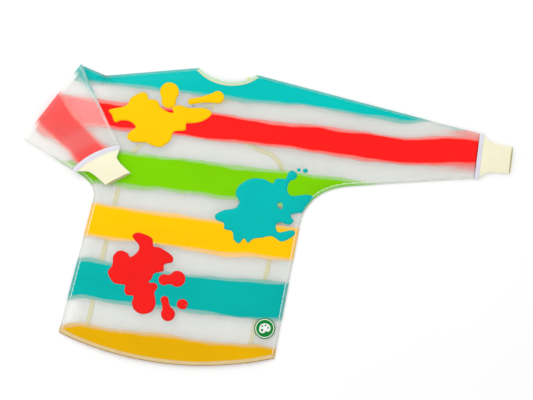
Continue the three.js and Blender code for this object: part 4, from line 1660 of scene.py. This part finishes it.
class SMOCK_OT_stage(bpy.types.Operator):
    """Make the pale floor, the soft light and the camera."""

    bl_idname = "smock.stage"
    bl_label = "Stage"

    def execute(self, context):
        scene, stage = context.scene, context.scene.smock_stage
        middle = Vector((*VIEW_MIDDLE, 0.0))
        size = 6.0
        corners = [(x * size, y * size, -0.0004) for x, y in ((-1, -1), (1, -1), (1, 1), (-1, 1))]
        floor = new_object("floor", mesh_of("floor", corners, [(0, 1, 2, 3)]), floor_material(), shade=False)
        lamp = bpy.data.lights.new("soft_lamp", "AREA")
        lamp.energy = stage.key
        lamp.shape = "RECTANGLE"
        lamp.size, lamp.size_y = 1.6, 1.2
        lamp_object = bpy.data.objects.new("soft_lamp", lamp)
        lamp_object.location = (-1.1, 1.3, 1.7)
        lamp_object.rotation_euler = (middle - lamp_object.location).to_track_quat("-Z", "Y").to_euler()
        scene.collection.objects.link(lamp_object)
        world = bpy.data.worlds.new("soft_room")
        world.use_nodes = True
        world.node_tree.nodes["Background"].inputs["Color"].default_value = (1, 1, 1, 1)
        world.node_tree.nodes["Background"].inputs["Strength"].default_value = stage.fill
        scene.world = world
        camera = bpy.data.cameras.new("camera")
        camera.sensor_width = 36
        camera.lens = 100
        eye = bpy.data.objects.new("camera", camera)
        eye.location = middle + Vector((0, 0, stage.view_width * camera.lens / camera.sensor_width))
        eye.rotation_euler = (0, 0, stage.view_turn)
        scene.collection.objects.link(eye)
        scene.camera = eye
        scene.view_settings.view_transform = "Standard"
        scene.cycles.transparent_max_bounces = 32
        scene.cycles.diffuse_bounces = 8
        return {"FINISHED"}


class SMOCK_OT_declare(bpy.types.Operator):
    """Works out the rows of the folded forearm's two plies, and keeps nothing from them."""

    bl_idname = "smock.declare"
    bl_label = "Declare the sheets"

    def execute(self, context):
        for ply in ("front", "back"):
            rows, _ = forearm_rows(ply, ACROSS)
        return {"FINISHED"}


STEPS = ("front", "back", "folded_sleeve", "welds", "bindings", "cuffs", "splashes", "badge", "neck_fittings",
         "declare", "stage")


class SMOCK_PT_panel(bpy.types.Panel):
    """The smock's sizes, colours and steps."""

    bl_idname = "SMOCK_PT_panel"
    bl_label = "Painting Smock"
    bl_space_type = "VIEW_3D"
    bl_region_type = "UI"
    bl_category = "Smock"

    def draw(self, context):
        for group in (context.scene.smock_film, context.scene.smock_inks, context.scene.smock_trims,
                      context.scene.smock_stage):
            box = self.layout.box()
            for key in group.__annotations__:
                box.prop(group, key)
        for step in STEPS:
            self.layout.operator(f"smock.{step}")


CLASSES = (
    SmockFilm, SmockInks, SmockTrims, SmockStage, SMOCK_OT_front, SMOCK_OT_back, SMOCK_OT_folded_sleeve,
    SMOCK_OT_welds, SMOCK_OT_bindings, SMOCK_OT_cuffs, SMOCK_OT_splashes, SMOCK_OT_badge,
    SMOCK_OT_neck_fittings, SMOCK_OT_declare, SMOCK_OT_stage, SMOCK_PT_panel,
)
GROUPS = (("smock_film", SmockFilm), ("smock_inks", SmockInks), ("smock_trims", SmockTrims),
          ("smock_stage", SmockStage))


def register():
    for cls in CLASSES:
        bpy.utils.register_class(cls)
    for key, group in GROUPS:
        setattr(bpy.types.Scene, key, PointerProperty(type=group))


def unregister():
    for key, _ in GROUPS:
        delattr(bpy.types.Scene, key)
    for cls in reversed(CLASSES):
        bpy.utils.unregister_class(cls)


def main():
    register()
    for step in STEPS:
        getattr(bpy.ops.smock, step)()
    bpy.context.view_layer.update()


if __name__ == "__main__":
    main()
